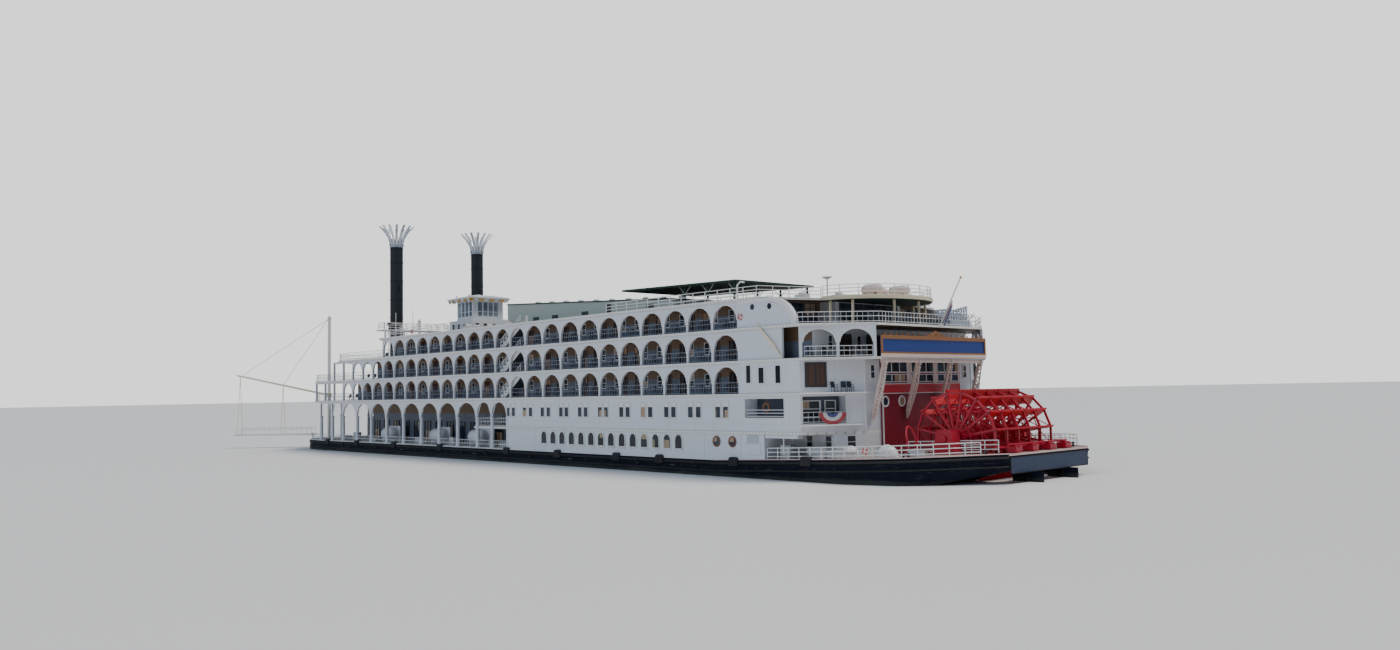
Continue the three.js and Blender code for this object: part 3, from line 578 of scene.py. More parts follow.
class Paint(Enum):
    """The finishes of the steamer, each built once."""

    WHITE = Enamel("white_enamel", (0.72, 0.75, 0.80))
    TRIM = Enamel("white_trim", (0.80, 0.80, 0.80), streaks=0.12, plate=(9.0, 9.0))
    LACE = Enamel("gallery_enamel", (0.70, 0.73, 0.79), streaks=0.10, plate=(9.0, 9.0))
    # White rails painted a dim blue-grey: painted shade, as they stand in the galleries' shadow.
    SHADED_RAIL = Enamel("rail_painted_shade", (0.30, 0.34, 0.42), streaks=0.10, plate=(9.0, 9.0))
    CREAM = Enamel("cream_enamel", (0.84, 0.74, 0.54), streaks=0.15, plate=(9.0, 9.0))
    SHEER = Enamel("roof_enamel", (0.42, 0.49, 0.46), streaks=0.25)
    # Painted shade: a dark blue-grey for the recesses' back sheets, the lounge's window frames and the
    # roof's louvres.
    SHADE = Gloss("recess_painted_shade", (0.060, 0.075, 0.105), (0.16, 0.18, 0.22), 0.2, 0.5)
    WALNUT = Planks("walnut_panels", (0.085, 0.040, 0.026), 0.05, along_y=False)
    STRUT = Enamel("strut_enamel", (0.74, 0.60, 0.54), streaks=0.3, plate=(9.0, 9.0))
    GALLERY = GalleryWall()
    DECK = DeckPlate("deck_plate")
    # The stairs' near-black ceiling is painted shade under the flights.
    STAIR = DeckPlate("stair_plate", shaded_ceiling=(0.045, 0.05, 0.065), edge=(0.80, 0.80, 0.80))
    HULL = HullPaint()
    WHEEL = Gloss("wheel_enamel", (0.50, 0.008, 0.032), (0.36, 0.06, 0.07), 0.35, 0.36, coat=0.2)
    PADDLE = Planks("paddle_boards", (0.62, 0.016, 0.026), 0.10, along_y=True)
    FACADE = Planks("facade_boards", (0.24, 0.010, 0.028), 0.034)
    BAND = Planks("red_band", (0.62, 0.022, 0.040), 0.05, upright=False)
    SIGN = Gloss("blue_enamel", (0.010, 0.045, 0.25), (0.05, 0.12, 0.35), 0.2, 0.42)
    NAVY = Gloss("navy_panel", (0.018, 0.035, 0.085), (0.06, 0.08, 0.14), 0.3, 0.5)
    GILT = Gloss("gilt_frame", (0.62, 0.36, 0.10), (0.30, 0.13, 0.05), 0.45, 0.35, metal=0.35)
    FRAME = Gloss("panel_frame", (0.33, 0.145, 0.055), (0.55, 0.36, 0.14), 0.45, 0.4, metal=0.15)
    FUNNEL = Gloss("funnel_black", (0.003, 0.003, 0.005), (0.012, 0.012, 0.015), 0.35, 0.65, gloss=0.05)
    STEEL = Gloss("bright_steel", (0.66, 0.72, 0.80), (0.30, 0.36, 0.46), 0.35, 0.28, metal=0.7)
    GREEN = Gloss("green_canvas", (0.012, 0.045, 0.036), (0.05, 0.09, 0.08), 0.25, 0.65)
    IRON = Gloss("dark_iron", (0.030, 0.034, 0.042), (0.16, 0.14, 0.13), 0.3, 0.45)
    CHAIR = Gloss("chair_paint", (0.030, 0.040, 0.065), (0.2, 0.2, 0.22), 0.2, 0.5)
    BROWN = Gloss("brown_varnish", (0.22, 0.085, 0.035), (0.4, 0.2, 0.1), 0.3, 0.35, coat=0.3)
    RUBBER = Gloss("fender_rubber", (0.016, 0.016, 0.018), (0.1, 0.1, 0.1), 0.4, 0.75)
    ROPE = Gloss("wire_rope", (0.32, 0.31, 0.29), (0.1, 0.1, 0.1), 0.4, 0.6, grain=90.0)
    GREY = Gloss("pale_grey", (0.55, 0.58, 0.62), (0.3, 0.3, 0.3), 0.25, 0.45)
    PORT = Gloss("deck_pink", (0.70, 0.50, 0.46), (0.35, 0.22, 0.2), 0.4, 0.55)
    GLASS = Glass("dark_glass")
    # These panes carry their own painted sky reflection; the pilothouse's is pale blue.
    DIM = Glass("dim_glass", (0.010, 0.012, 0.018), (0.035, 0.042, 0.060), (0.30, 0.24, 0.10), 0.93)
    CLEAR = Glass("pilot_glass", (0.10, 0.14, 0.19), (0.42, 0.50, 0.58), share=2.0)
    RING = Striped("ring_stripes", ((0.66, 0.05, 0.03), (0.66, 0.05, 0.03), (0.85, 0.83, 0.80)))
    CLOTH = Striped("cloth_stripes", ((0.55, 0.03, 0.05), (0.84, 0.82, 0.80), (0.03, 0.06, 0.28)))

    @property
    def material(self) -> bpy.types.Material:
        """The finish's material, built on first use."""
        return bpy.data.materials.get(self.value.name) or self.value.material()


class Maker:
    """Gathers closed forms into one mesh, in millimetres from the transom, for piece after piece."""

    def __init__(self) -> None:
        """Start an empty mesh."""
        self._clear()

    def _clear(self) -> None:
        """Empty the mesh for the next piece."""
        self.bm = bmesh.new()
        self.index = 0
        self.stripe = self.bm.verts.layers.float.new("stripe")

    def paint(self, index: int) -> "Maker":
        """Choose the place in the material list of the faces that follow."""
        self.index = index
        return self

    def faces(self, points: Line, loops: Iterable[Sequence[int]],
              stripes: Sequence[float] | None = None) -> None:
        """Add faces over points.

        Args:
            points: The corners.
            loops: Each face as places in points.
            stripes: The stored stripe coordinate of each point.
        """
        corners = [self.bm.verts.new(p) for p in points]
        if stripes:
            for corner, value in zip(corners, stripes):
                corner[self.stripe] = value
        for loop in loops:
            self.bm.faces.new([corners[i] for i in loop]).material_index = self.index

    def box(self, x0: float, x1: float, y0: float, y1: float, z0: float, z1: float) -> "Maker":
        """Add a box.

        Args:
            x0, x1, y0, y1, z0, z1: Its two ends along each axis.

        Returns:
            The maker, as each form below does.
        """
        points = [(x, y, z) for z in (z0, z1) for x, y in ((x0, y0), (x1, y0), (x1, y1), (x0, y1))]
        self.faces(points, [(0, 3, 2, 1), (4, 5, 6, 7), (0, 1, 5, 4), (1, 2, 6, 5), (2, 3, 7, 6),
                            (3, 0, 4, 7)])
        return self

    def slab(self, outline: Line, shift: Point) -> "Maker":
        """Add a prism.

        Args:
            outline: Its flat end.
            shift: The way to its other end.

        Returns:
            The maker.
        """
        count = len(outline)
        far = [tuple(Vector(p) + Vector(shift)) for p in outline]
        loops = [tuple(range(count)), tuple(range(2 * count - 1, count - 1, -1))]
        loops += [(i, (i + 1) % count, (i + 1) % count + count, i + count) for i in range(count)]
        self.faces([*outline, *far], loops)
        return self

    def tube(self, path: Line, radius: float | Sequence[float], sides: int = 6,
             closed: bool = False) -> "Maker":
        """Add a round bar along a path.

        Args:
            path: The points that the bar's middle follows.
            radius: One radius, or one for each point.
            sides: Faces round the bar.
            closed: Whether the last point joins the first.

        Returns:
            The maker.
        """
        points = [Vector(p) for p in path]
        count = len(points)
        radii = [radius] * count if isinstance(radius, (int, float)) else list(radius)
        normal = None
        rings = []
        for i, point in enumerate(points):
            ahead = points[(i + 1) % count] if closed or i + 1 < count else point
            behind = points[i - 1] if closed or i > 0 else point
            along = (ahead - behind).normalized()
            if normal is None:
                guide = Vector(UP) if abs(along.z) < 0.9 else Vector(PORTWARD)
                normal = along.cross(guide).normalized()
            else:
                normal = (normal - along * normal.dot(along)).normalized()
            other = along.cross(normal)
            rings.append([point + (normal * cos(a) + other * sin(a)) * radii[i] for a in turns(sides)])
        self._skin(rings, closed)
        return self

    def turned(self, centre: Point, axis: Point, profile: Pairs, sides: int = 16) -> "Maker":
        """Add a turned form.

        Args:
            centre: Where the axis starts.
            axis: The axis's direction.
            profile: Pairs of distance along the axis and radius, from end to end.
            sides: Faces round the form.

        Returns:
            The maker.
        """
        along = Vector(axis).normalized()
        guide = Vector(UP) if abs(along.z) < 0.9 else Vector(FORWARD)
        normal = along.cross(guide).normalized()
        other = along.cross(normal)
        start = Vector(centre)
        rings = [[start + along * at + (normal * cos(a) + other * sin(a)) * max(r, 0.05)
                  for a in turns(sides)] for at, r in profile]
        self._skin(rings, False)
        return self

    def ring(self, centre: Point, axis: Point, radius: float, thickness: float, steps: int = 20,
             sides: int = 8, rounds: float = 4.0) -> "Maker":
        """Add a round ring with its stripe coordinate running round it.

        Args:
            centre: Its middle.
            axis: The way that it faces.
            radius: From its middle to the middle of its section.
            thickness: The radius of its section.
            steps: Faces round the ring.
            sides: Faces round its section.
            rounds: How often the stripes repeat.

        Returns:
            The maker.
        """
        along = Vector(axis).normalized()
        guide = Vector(UP) if abs(along.z) < 0.9 else Vector(FORWARD)
        u = along.cross(guide).normalized()
        v = along.cross(u)
        points, stripes = [], []
        for i in range(steps):
            a = 2 * pi * i / steps
            out = u * cos(a) + v * sin(a)
            for k in range(sides):
                b = 2 * pi * k / sides
                points.append(Vector(centre) + out * (radius + thickness * cos(b))
                              + along * thickness * sin(b))
                stripes.append(rounds * i / steps + 0.001)
        loops = [(i * sides + k, i * sides + (k + 1) % sides,
                  (i + 1) % steps * sides + (k + 1) % sides, (i + 1) % steps * sides + k)
                 for i in range(steps) for k in range(sides)]
        self.faces(points, loops, stripes)
        return self

    def crate(self, x: float, y: float, z: float, size: Sequence[float]) -> "Maker":
        """Add a crate with a lid that overhangs it by 3 mm.

        Args:
            x, y, z: The middle of its foot.
            size: Its width, depth and height.

        Returns:
            The maker.
        """
        w, d, h = size[0] / 2, size[1] / 2, size[2]
        self.box(x - w, x + w, y - d, y + d, z + SEAT, z + h)
        return self.box(x - w - 3, x + w + 3, y - d - 3, y + d + 3, z + h, z + h + 5)

    def cloth(self, points: Line, columns: int, stripes: Sequence[float]) -> "Maker":
        """Add a sheet.

        Args:
            points: Its points, row after row.
            columns: The points in a row.
            stripes: The stored stripe coordinate of each point.

        Returns:
            The maker.
        """
        rows = len(points) // columns
        self.faces(points, [(r * columns + k, r * columns + k + 1, (r + 1) * columns + k + 1,
                             (r + 1) * columns + k) for r in range(rows - 1)
                            for k in range(columns - 1)], stripes)
        return self

    def _skin(self, rings: list[list[Vector]], closed: bool) -> None:
        """Join rings of points into one closed surface.

        Args:
            rings: The rings, each with as many points.
            closed: Whether the last ring joins the first.
        """
        sides = len(rings[0])
        points = [p for ring in rings for p in ring]
        last = len(rings) if closed else len(rings) - 1
        loops = [(i * sides + k, i * sides + (k + 1) % sides,
                  (i + 1) % len(rings) * sides + (k + 1) % sides, (i + 1) % len(rings) * sides + k)
                 for i in range(last) for k in range(sides)]
        if not closed:
            end = (len(rings) - 1) * sides
            loops += [tuple(reversed(range(sides))), tuple(range(end, end + sides))]
        self.faces(points, loops)

    def mirrored(self) -> "Maker":
        """Add the same forms on the other side of the centreline.

        Returns:
            The maker.
        """
        made = bmesh.ops.duplicate(self.bm, geom=self.bm.verts[:] + self.bm.edges[:] + self.bm.faces[:])
        for item in made["geom"]:
            if isinstance(item, bmesh.types.BMVert):
                item.co.y = -item.co.y
        return self

    def mesh(self, name: str, paints: Sequence[Paint], local: bool = False) -> bpy.types.Mesh:
        """Return the mesh, in metres, with its faces turned outwards.

        Args:
            name: The mesh's name.
            paints: Its finishes.
            local: Whether the forms are about their own origin, as a pattern's are.

        Returns:
            The mesh.
        """
        bmesh.ops.recalc_face_normals(self.bm, faces=self.bm.faces)
        shift = 0.0 if local else TRANSOM
        for v in self.bm.verts:
            v.co = (v.co.x / 1000 + shift, v.co.y / 1000, v.co.z / 1000)
        data = bpy.data.meshes.new(name)
        self.bm.to_mesh(data)
        self.bm.free()
        self._clear()
        for paint in paints:
            data.materials.append(paint.material)
        return data

    def finish(self, name: str, paints: Sequence[Paint] | Paint = Paint.TRIM, body: str = SHIP,
               slot: str = WHITE, smooth: float = 0.0, bevel: float = 0.0) -> bpy.types.Object:
        """Turn the forms into a finished piece that rides on a body.

        Args:
            name: The piece's name.
            paints: Its finish or finishes.
            body: The CAD body that it rides on.
            slot: The record's material slot; not used.
            smooth: Shade smooth where faces meet under this many degrees.
            bevel: Width of the rounded edges in millimetres.

        Returns:
            The piece.
        """
        listed = [paints] if isinstance(paints, Paint) else list(paints)
        piece = placed(name, self.mesh(name, listed))
        if smooth:
            for polygon in piece.data.polygons:
                polygon.use_smooth = True
            piece.data.set_sharp_from_angle(angle=radians(smooth))
        if bevel:
            edge = piece.modifiers.new("edges", "BEVEL")
            edge.width = bevel / 1000
            edge.segments = 1
            edge.limit_method = "ANGLE"
        return settle(piece, body)


def settle(piece: bpy.types.Object, body: str = SHIP) -> bpy.types.Object:
    """Set a piece on its body.

    Args:
        piece: The finished object at the origin.
        body: The CAD body that it rides on.

    Returns:
        The piece.
    """
    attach(piece, body)
    return piece


class Graph(Nodes):
    """A Geometry Nodes tree with named inputs."""

    def __init__(self, name: str, inputs: Sequence[tuple[str, str, object]]) -> None:
        """Start a tree.

        Args:
            name: The tree's name.
            inputs: Each input's name, socket type and default value.
        """
        super().__init__(bpy.data.node_groups.new(name, "GeometryNodeTree"))
        self.tree.is_modifier = True
        face = self.tree.interface
        face.new_socket(name="Geometry", in_out="INPUT", socket_type="NodeSocketGeometry")
        for title, kind, value in inputs:
            socket = face.new_socket(name=title, in_out="INPUT", socket_type=f"NodeSocket{kind}")
            if value is not None:
                socket.default_value = value
        face.new_socket(name="Geometry", in_out="OUTPUT", socket_type="NodeSocketGeometry")
        self.start = self.tree.nodes.new("NodeGroupInput")
        self.end = self.tree.nodes.new("NodeGroupOutput")

    def given(self, name: str) -> bpy.types.NodeSocket:
        """Return one of the tree's inputs."""
        return self.start.outputs[name]

    def close(self, geometry: bpy.types.NodeSocket) -> bpy.types.NodeTree:
        """End the tree in Realize Instances and Set Material.

        Args:
            geometry: The tree's result.

        Returns:
            The tree.
        """
        real = self.node("GeometryNodeRealizeInstances", None, Geometry=geometry)
        coat = self.node("GeometryNodeSetMaterial", None, Geometry=real.outputs[0],
                         Material=self.given("Material"))
        self.tree.links.new(coat.outputs[0], self.end.inputs[0])
        return self.tree


class Repeat(Enum):
    """The ways in which small forms repeat over the ship."""

    COPIES = "copies at places"
    RUN = "copies along a path"
    BARS = "bars along a path"

    def tree(self) -> bpy.types.NodeTree:
        """Return this way's tree, built on first use."""
        build = {Repeat.COPIES: self._copies, Repeat.RUN: self._run, Repeat.BARS: self._bars}[self]
        return bpy.data.node_groups.get(self.value) or build()

    def _copies(self) -> bpy.types.NodeTree:
        """Build the tree of a pattern at each vertex, turned and sized by the vertices' attributes.

        Returns:
            The tree.
        """
        g = Graph(self.value, [("Pattern", "Object", None), ("Size", "Float", 1.0),
                               ("Turn play", "Float", 0.0), ("Seed", "Int", 7),
                               ("Material", "Material", None)])
        pattern = g.node("GeometryNodeObjectInfo", None, Object=g.given("Pattern"))
        turn, size = (g.node("GeometryNodeInputNamedAttribute", {"data_type": "FLOAT_VECTOR"}, Name=name)
                      for name in ("turn", "size"))
        minus = g.node("ShaderNodeMath", {"operation": "MULTIPLY"}, i0=g.given("Turn play"), i1=-1.0)
        play = g.node("FunctionNodeRandomValue", {"data_type": "FLOAT"}, Min=minus.outputs[0],
                      Max=g.given("Turn play"), Seed=g.given("Seed"))
        spin = g.node("ShaderNodeCombineXYZ", None, Z=play.outputs[1])
        both = g.node("ShaderNodeVectorMath", {"operation": "ADD"}, i0=turn.outputs[0], i1=spin.outputs[0])
        angle = g.node("FunctionNodeEulerToRotation", None, Euler=both.outputs[0])
        sized = g.node("ShaderNodeVectorMath", {"operation": "SCALE"}, i0=size.outputs[0],
                       Scale=g.given("Size"))
        copies = g.node("GeometryNodeInstanceOnPoints", None, Points=g.given("Geometry"),
                        Instance=pattern.outputs["Geometry"], Rotation=angle.outputs[0],
                        Scale=sized.outputs[0])
        return g.close(copies.outputs[0])

    def _run(self) -> bpy.types.NodeTree:
        """Build the tree of a pattern at even spaces along paths, turned with them.

        Returns:
            The tree.
        """
        g = Graph(self.value, [("Pattern", "Object", None), ("Spacing", "Float", 0.03),
                               ("Material", "Material", None)])
        pattern = g.node("GeometryNodeObjectInfo", None, Object=g.given("Pattern"))
        curve = g.node("GeometryNodeMeshToCurve", None, Mesh=g.given("Geometry"))
        even = g.node("GeometryNodeResampleCurve", {"mode": "LENGTH"}, Curve=curve.outputs[0],
                      Length=g.given("Spacing"))
        tangent = g.node("GeometryNodeInputTangent")
        angle = g.node("FunctionNodeAlignRotationToVector", {"axis": "X", "pivot_axis": "Z"},
                       Vector=tangent.outputs[0])
        copies = g.node("GeometryNodeInstanceOnPoints", None, Points=even.outputs[0],
                        Instance=pattern.outputs["Geometry"], Rotation=angle.outputs[0])
        return g.close(copies.outputs[0])

    def _bars(self) -> bpy.types.NodeTree:
        """Build the tree of three round bars at their heights along paths.

        Returns:
            The tree.
        """
        g = Graph(self.value, [("Top", "Float", 0.1), ("Middle", "Float", 0.05), ("Low", "Float", 0.01),
                               ("Radius", "Float", 0.004), ("Sides", "Int", 6),
                               ("Material", "Material", None)])
        curve = g.node("GeometryNodeMeshToCurve", None, Mesh=g.given("Geometry"))
        section = g.node("GeometryNodeCurvePrimitiveCircle", {"mode": "RADIUS"},
                         Resolution=g.given("Sides"), Radius=g.given("Radius"))
        gather = g.node("GeometryNodeJoinGeometry")
        for height in ("Top", "Middle", "Low"):
            lift = g.node("ShaderNodeCombineXYZ", None, Z=g.given(height))
            moved = g.node("GeometryNodeSetPosition", None, Geometry=curve.outputs[0],
                           Offset=lift.outputs[0])
            bar = g.node("GeometryNodeCurveToMesh", None, Curve=moved.outputs[0],
                         Profile_Curve=section.outputs[0], Fill_Caps=True)
            g.tree.links.new(bar.outputs[0], gather.inputs[0])
        return g.close(gather.outputs[0])

    def apply(self, name: str, source: bpy.types.Mesh, paint: Paint, body: str = SHIP,
              slot: str = WHITE, **inputs: object) -> bpy.types.Object:
        """Run the tree on a source mesh and keep the result as a plain piece.

        Args:
            name: The piece's name.
            source: The points or paths.
            paint: The piece's finish.
            body: The CAD body that it rides on.
            slot: The record's material slot; not used.
            inputs: The tree's inputs by name, with _ for a space.

        Returns:
            The piece.
        """
        holder = placed(name + "_source", source)
        tree = self.tree()
        modifier = holder.modifiers.new("repeat", "NODES")
        modifier.node_group = tree
        places = {item.name: item.identifier for item in tree.interface.items_tree
                  if item.item_type == "SOCKET" and item.in_out == "INPUT"}
        for key, value in {**inputs, "Material": paint.material}.items():
            modifier[places[key.replace("_", " ")]] = value
        holder.update_tag()
        graph = bpy.context.evaluated_depsgraph_get()
        made = bpy.data.meshes.new_from_object(holder.evaluated_get(graph), depsgraph=graph)
        bpy.data.objects.remove(holder)
        made.name = name
        return settle(placed(name, made), body)


Form = Callable[[Maker], object]


@dataclass
class Spots:
    """Places for copies of a pattern: each a point in millimetres, a turn and a size."""

    points: list[Vector] = field(default_factory=list)
    turns: list[Point] = field(default_factory=list)
    sizes: list[Point] = field(default_factory=list)

    def add(self, x: float, y: float, z: float, turn: float = 0.0, size: Point = (1, 1, 1)) -> None:
        """Add a place.

        Args:
            x, y, z: The place in millimetres from the transom.
            turn: Degrees about the upright axis.
            size: The pattern's scale along its own axes.
        """
        self.points.append(metres(x, y, z))
        self.turns.append((0.0, 0.0, radians(turn)))
        self.sizes.append(size)

    def both(self, x: float, y: float, z: float, turn: float = 0.0, size: Point = (1, 1, 1)) -> None:
        """Add a place and its mirror image, for a pattern that faces outwards to port."""
        self.add(x, y, z, turn, size)
        self.add(x, -y, z, 180.0 - turn, size)

    @classmethod
    def pairs(cls, places: Iterable[Sequence]) -> "Spots":
        """Return spots on both sides.

        Args:
            places: What both() takes for each place to port.

        Returns:
            The spots.
        """
        made = cls()
        for place in places:
            made.both(*place)
        return made

    def mesh(self) -> bpy.types.Mesh:
        """Make the places a mesh of points with attributes.

        Returns:
            The mesh.
        """
        data = bpy.data.meshes.new("spots")
        data.from_pydata(self.points, [], [])
        for name, values in (("turn", self.turns), ("size", self.sizes)):
            layer = data.attributes.new(name, "FLOAT_VECTOR", "POINT")
            layer.data.foreach_set("vector", [c for value in values for c in value])
        return data


def paths(lines: Lines) -> bpy.types.Mesh:
    """Make open lines a mesh of edges in metres.

    Args:
        lines: The lines, in millimetres from the transom.

    Returns:
        The mesh.
    """
    points, edges = [], []
    for line in lines:
        start = len(points)
        points += [metres(*p) for p in line]
        edges += [(start + i, start + i + 1) for i in range(len(line) - 1)]
    data = bpy.data.meshes.new("paths")
    data.from_pydata(points, edges, [])
    return data


class Pattern:
    """A small form that a tree repeats, kept out of the scene."""

    def __init__(self, build: Form) -> None:
        """Build the form.

        Args:
            build: Adds its forms to a Maker, in millimetres about their own origin.
        """
        maker = Maker()
        build(maker)
        self.object = bpy.data.objects.new("pattern", maker.mesh("pattern", [], local=True))

    def at(self, spots: Spots, name: str, paint: Paint = Paint.TRIM, body: str = SHIP, slot: str = WHITE,
           play: float = 0.0) -> bpy.types.Object:
        """Return copies of the form at its places, turned at random by up to play degrees, as a piece."""
        return Repeat.COPIES.apply(name, spots.mesh(), paint, body, slot, Pattern=self.object,
                                   Turn_play=radians(play))

    def along(self, lines: Lines, name: str, spacing: float, paint: Paint = Paint.TRIM) -> bpy.types.Object:
        """Return copies of the form along lines, so many millimetres apart, as one piece."""
        return Repeat.RUN.apply(name, paths(lines), paint, Pattern=self.object, Spacing=spacing / 1000)


def rails(lines: Lines, name: str, heights: Point, radius: float,
          paint: Paint = Paint.TRIM) -> bpy.types.Object:
    """Lay three bars along lines.

    Args:
        lines: The lines at deck height, in millimetres.
        name: The piece's name.
        heights: The bars' heights over the lines.
        radius: The bars' radius.
        paint: Their finish.

    Returns:
        The piece.
    """
    top, middle, low = (h / 1000 for h in heights)
    return Repeat.BARS.apply(name, paths(lines), paint, Top=top, Middle=middle, Low=low,
                             Radius=radius / 1000)


@dataclass(frozen=True)
class WindowKind:
    """A window or glazed door that is copied over the walls: its frame and its pane."""

    width: float
    height: float
    lights: int = 1
    bars: Row = ()
    arch: bool = False
    strip: float = 9.0
    depth: float = 9.0
    paint: Paint = Paint.TRIM
    glass: Paint = Paint.GLASS
    sill: float = 0.0
    blind: float = 0.0

    def _outline(self, inset: float) -> list[Point]:
        """Return the outline.

        Args:
            inset: How far inside the window's edge it lies.

        Returns:
            Its points, from the low left corner round to the low right one.
        """
        half, top = self.width / 2 - inset, self.height - inset
        if not self.arch:
            return [(-half, 0, inset), (-half, 0, top), (half, 0, top), (half, 0, inset)]
        spring = self.height - self.width / 2
        curve = [(-half * cos(a), 0, spring + half * 1.12 * sin(a)) for a in sweep(pi, 8)]
        return [(-half, 0, inset), *curve, (half, 0, inset)]

    def _frame(self, m: Maker) -> None:
        """Add the frame, its mullions, its bars and its sill.

        Args:
            m: The maker.
        """
        outer, inner = self._outline(0.0), self._outline(self.strip)
        count = len(outer)
        for i in range(count):
            j = (i + 1) % count
            m.slab([outer[i], outer[j], inner[j], inner[i]], (0, self.depth, 0))
        thin = self.strip * 0.45
        for n in range(1, self.lights):
            x = -self.width / 2 + self.width * n / self.lights
            m.box(x - thin, x + thin, 0, self.depth * 0.8, self.strip, self.height - self.strip)
        for share in self.bars:
            z = self.height * share
            m.box(-self.width / 2 + 2, self.width / 2 - 2, 0, self.depth * 0.8, z - thin, z + thin)
        if self.blind:
            m.box(-self.width / 2 + 3, self.width / 2 - 3, 0, self.depth * 0.45,
                  self.height * (1 - self.blind), self.height - 3)
        if self.sill:
            m.box(-self.width / 2 - self.sill, self.width / 2 + self.sill, 0, self.depth * 1.6,
                  -self.strip * 0.7, 0)

    def _pane(self, m: Maker) -> None:
        """Add the pane, a little behind the frame's face."""
        m.slab([(x, 0.3, z) for x, _, z in self._outline(self.strip * 0.6)], (0, self.depth * 0.3, 0))

    def place(self, spots: Spots, name: str) -> None:
        """Copy the window to its places, each at the middle of its foot."""
        Pattern(self._frame).at(spots, f"{name}_frames", self.paint)
        Pattern(self._pane).at(spots, f"{name}_panes", self.glass, slot="bright_metal")


FRENCH_DOOR = WindowKind(104, 206, 2, (0.36,), strip=8, depth=8, paint=Paint.BROWN)
CABIN_WINDOW = WindowKind(76, 124, 1, (0.5,), strip=6, depth=8, sill=4)
DOUBLE_DOOR = WindowKind(200, 215, 2, (), strip=15, depth=10, paint=Paint.IRON, glass=Paint.WALNUT)
# The lounge's window frames are painted shade, dark blue-grey instead of white.
LOUNGE_LIGHT = WindowKind(168, 222, 2, (0.76,), strip=6, depth=9, paint=Paint.SHADE)


def scallop(width: float, drop: float, thick: float = 5.0) -> Form:
    """Return what adds a half-round tab of a width, depth and thickness, hung from the origin."""
    curve = [(-width / 2 * cos(a), -thick / 2, -drop * sin(a)) for a in sweep(pi, 4)]
    return lambda m: m.slab(curve, (0, thick, 0))


def baluster(height: float, half: float = 1.7, lump: float = 5.0) -> Form:
    """Return an upright bar with a pointed lump halfway up.

    Args:
        height: Its height.
        half: Half its width.
        lump: The lump's radius.

    Returns:
        What adds the bar.
    """
    knob = [(0, 0), (lump * 1.6, lump), (lump * 3.2, 0)]
    return lambda m: m.box(-half, half, -half, half, 0, height).turned(
        (0, 0, height * 0.5 - lump * 1.6), UP, knob, 4)


def chair(m: Maker) -> None:
    """Add a deck chair that looks out along +Y.

    Args:
        m: The maker.
    """
    m.box(-21, 21, -20, 20, 40, 44)
    m.slab([(-21, -20, 44), (21, -20, 44), (21, -32, 92), (-21, -32, 92)], (0, 3.5, 1))
    for x in (-21, 18.5):
        m.box(x, x + 2.5, -20, -17, 0, 62).box(x, x + 2.5, 17, 20, 0, 62)
        m.box(x - 1, x + 3.5, -24, 21, 62, 65)


def table(m: Maker) -> None:
    """Add a round deck table."""
    m.turned((0, 0, 0), UP, [(0, 14), (3, 14), (5, 3), (60, 3), (62, 24), (66, 24)], 8)


def bitts(m: Maker) -> None:
    """Add a pair of mooring bitts along X.

    Args:
        m: The maker.
    """
    m.box(-38, 38, -14, 14, 0, 6)
    for x in (-22, 22):
        m.turned((x, 0, 4), UP, [(0, 9), (24, 8), (26, 13), (34, 13), (38, 9)], 8)
    m.tube([(-30, 0, 20), (30, 0, 20)], 4)


def lamp(m: Maker) -> None:
    """Add a round bulkhead lamp that faces along +Y."""
    m.turned((0, 0, 0), PORTWARD, [(0, 8), (5, 8), (10, 5), (12, 1)], 8)


LIFE_RING = (24.0, 7.0)
LACE_HALF = 151.0
LACE_RISE = 139.0


def arch_lace(m: Maker) -> None:
    """Add the scalloped band that lines an arch, about the middle of its springing.

    Args:
        m: The maker.
    """
    steps = 26
    for i in range(steps):
        pair = []
        for k in (i, i + 1):
            a = pi * k / steps
            drop = 4 if k % 2 else 9
            u, v = cos(a), sin(a)
            pair.append(((LACE_HALF + 3) * u, 0, (LACE_RISE + 5) * v))
            pair.append(((LACE_HALF - drop) * u, 0, (LACE_RISE - drop) * v))
        m.slab([pair[0], pair[2], pair[3], pair[1]], (0, 5, 0))
    for way in (-1, 1):
        m.ring((way * (LACE_HALF - 30), 2.5, LACE_RISE - 12), PORTWARD, 14, 2.6, 8, 4)
        m.ring((way * (LACE_HALF - 9), 2.5, LACE_RISE - 44), PORTWARD, 9, 2.2, 6, 4)


def life_rings(name: str, places: Line) -> bpy.types.Object:
    """Hang striped life rings on both sides.

    Args:
        name: The piece's name.
        places: The middle of each ring to port.

    Returns:
        The piece.
    """
    m = Maker()
    for x, y, z in places:
        for s in SIDES:
            m.ring((x, s * y, z), PORTWARD, *LIFE_RING, 24)
    return m.finish(name, Paint.RING, slot="wheel_red", smooth=60)


def mirrored(lines: Lines) -> list[list[Point]]:
    """Return the lines and their mirror images."""
    kept = [list(line) for line in lines]
    return kept + [[(x, -y, z) for x, y, z in line] for line in kept]


def rounded_front(bow: float, fore: float, nose: float, inset: float, z: float) -> list[Point]:
    """Return the line of a deck's rounded front, from port to starboard.

    Args:
        bow: Where the curve begins.
        fore: The deck's foremost place.
        nose: Half the width of its straight fore end.
        inset: How far inside the deck's edge the line lies.
        z: Its height.

    Returns:
        The line's points.
    """
    line = [(bow + (fore - inset - bow) * sin(a), nose + (HALF_BEAM - inset - nose) * cos(a), z)
            for a in sweep(pi / 2, 8)]
    return line + [(x, -y, z) for x, y, z in reversed(line)]


FANTAIL_EDGE = ((0, 640), (170, 800), (380, 1030), (630, 1230), (1090, 1356), (1700, 1360))
BOW_EDGE = ((11500, 1360), (11900, 1330), (12200, 1240), (12420, 1090), (12580, 890),
            (12690, 620), (12740, 260))


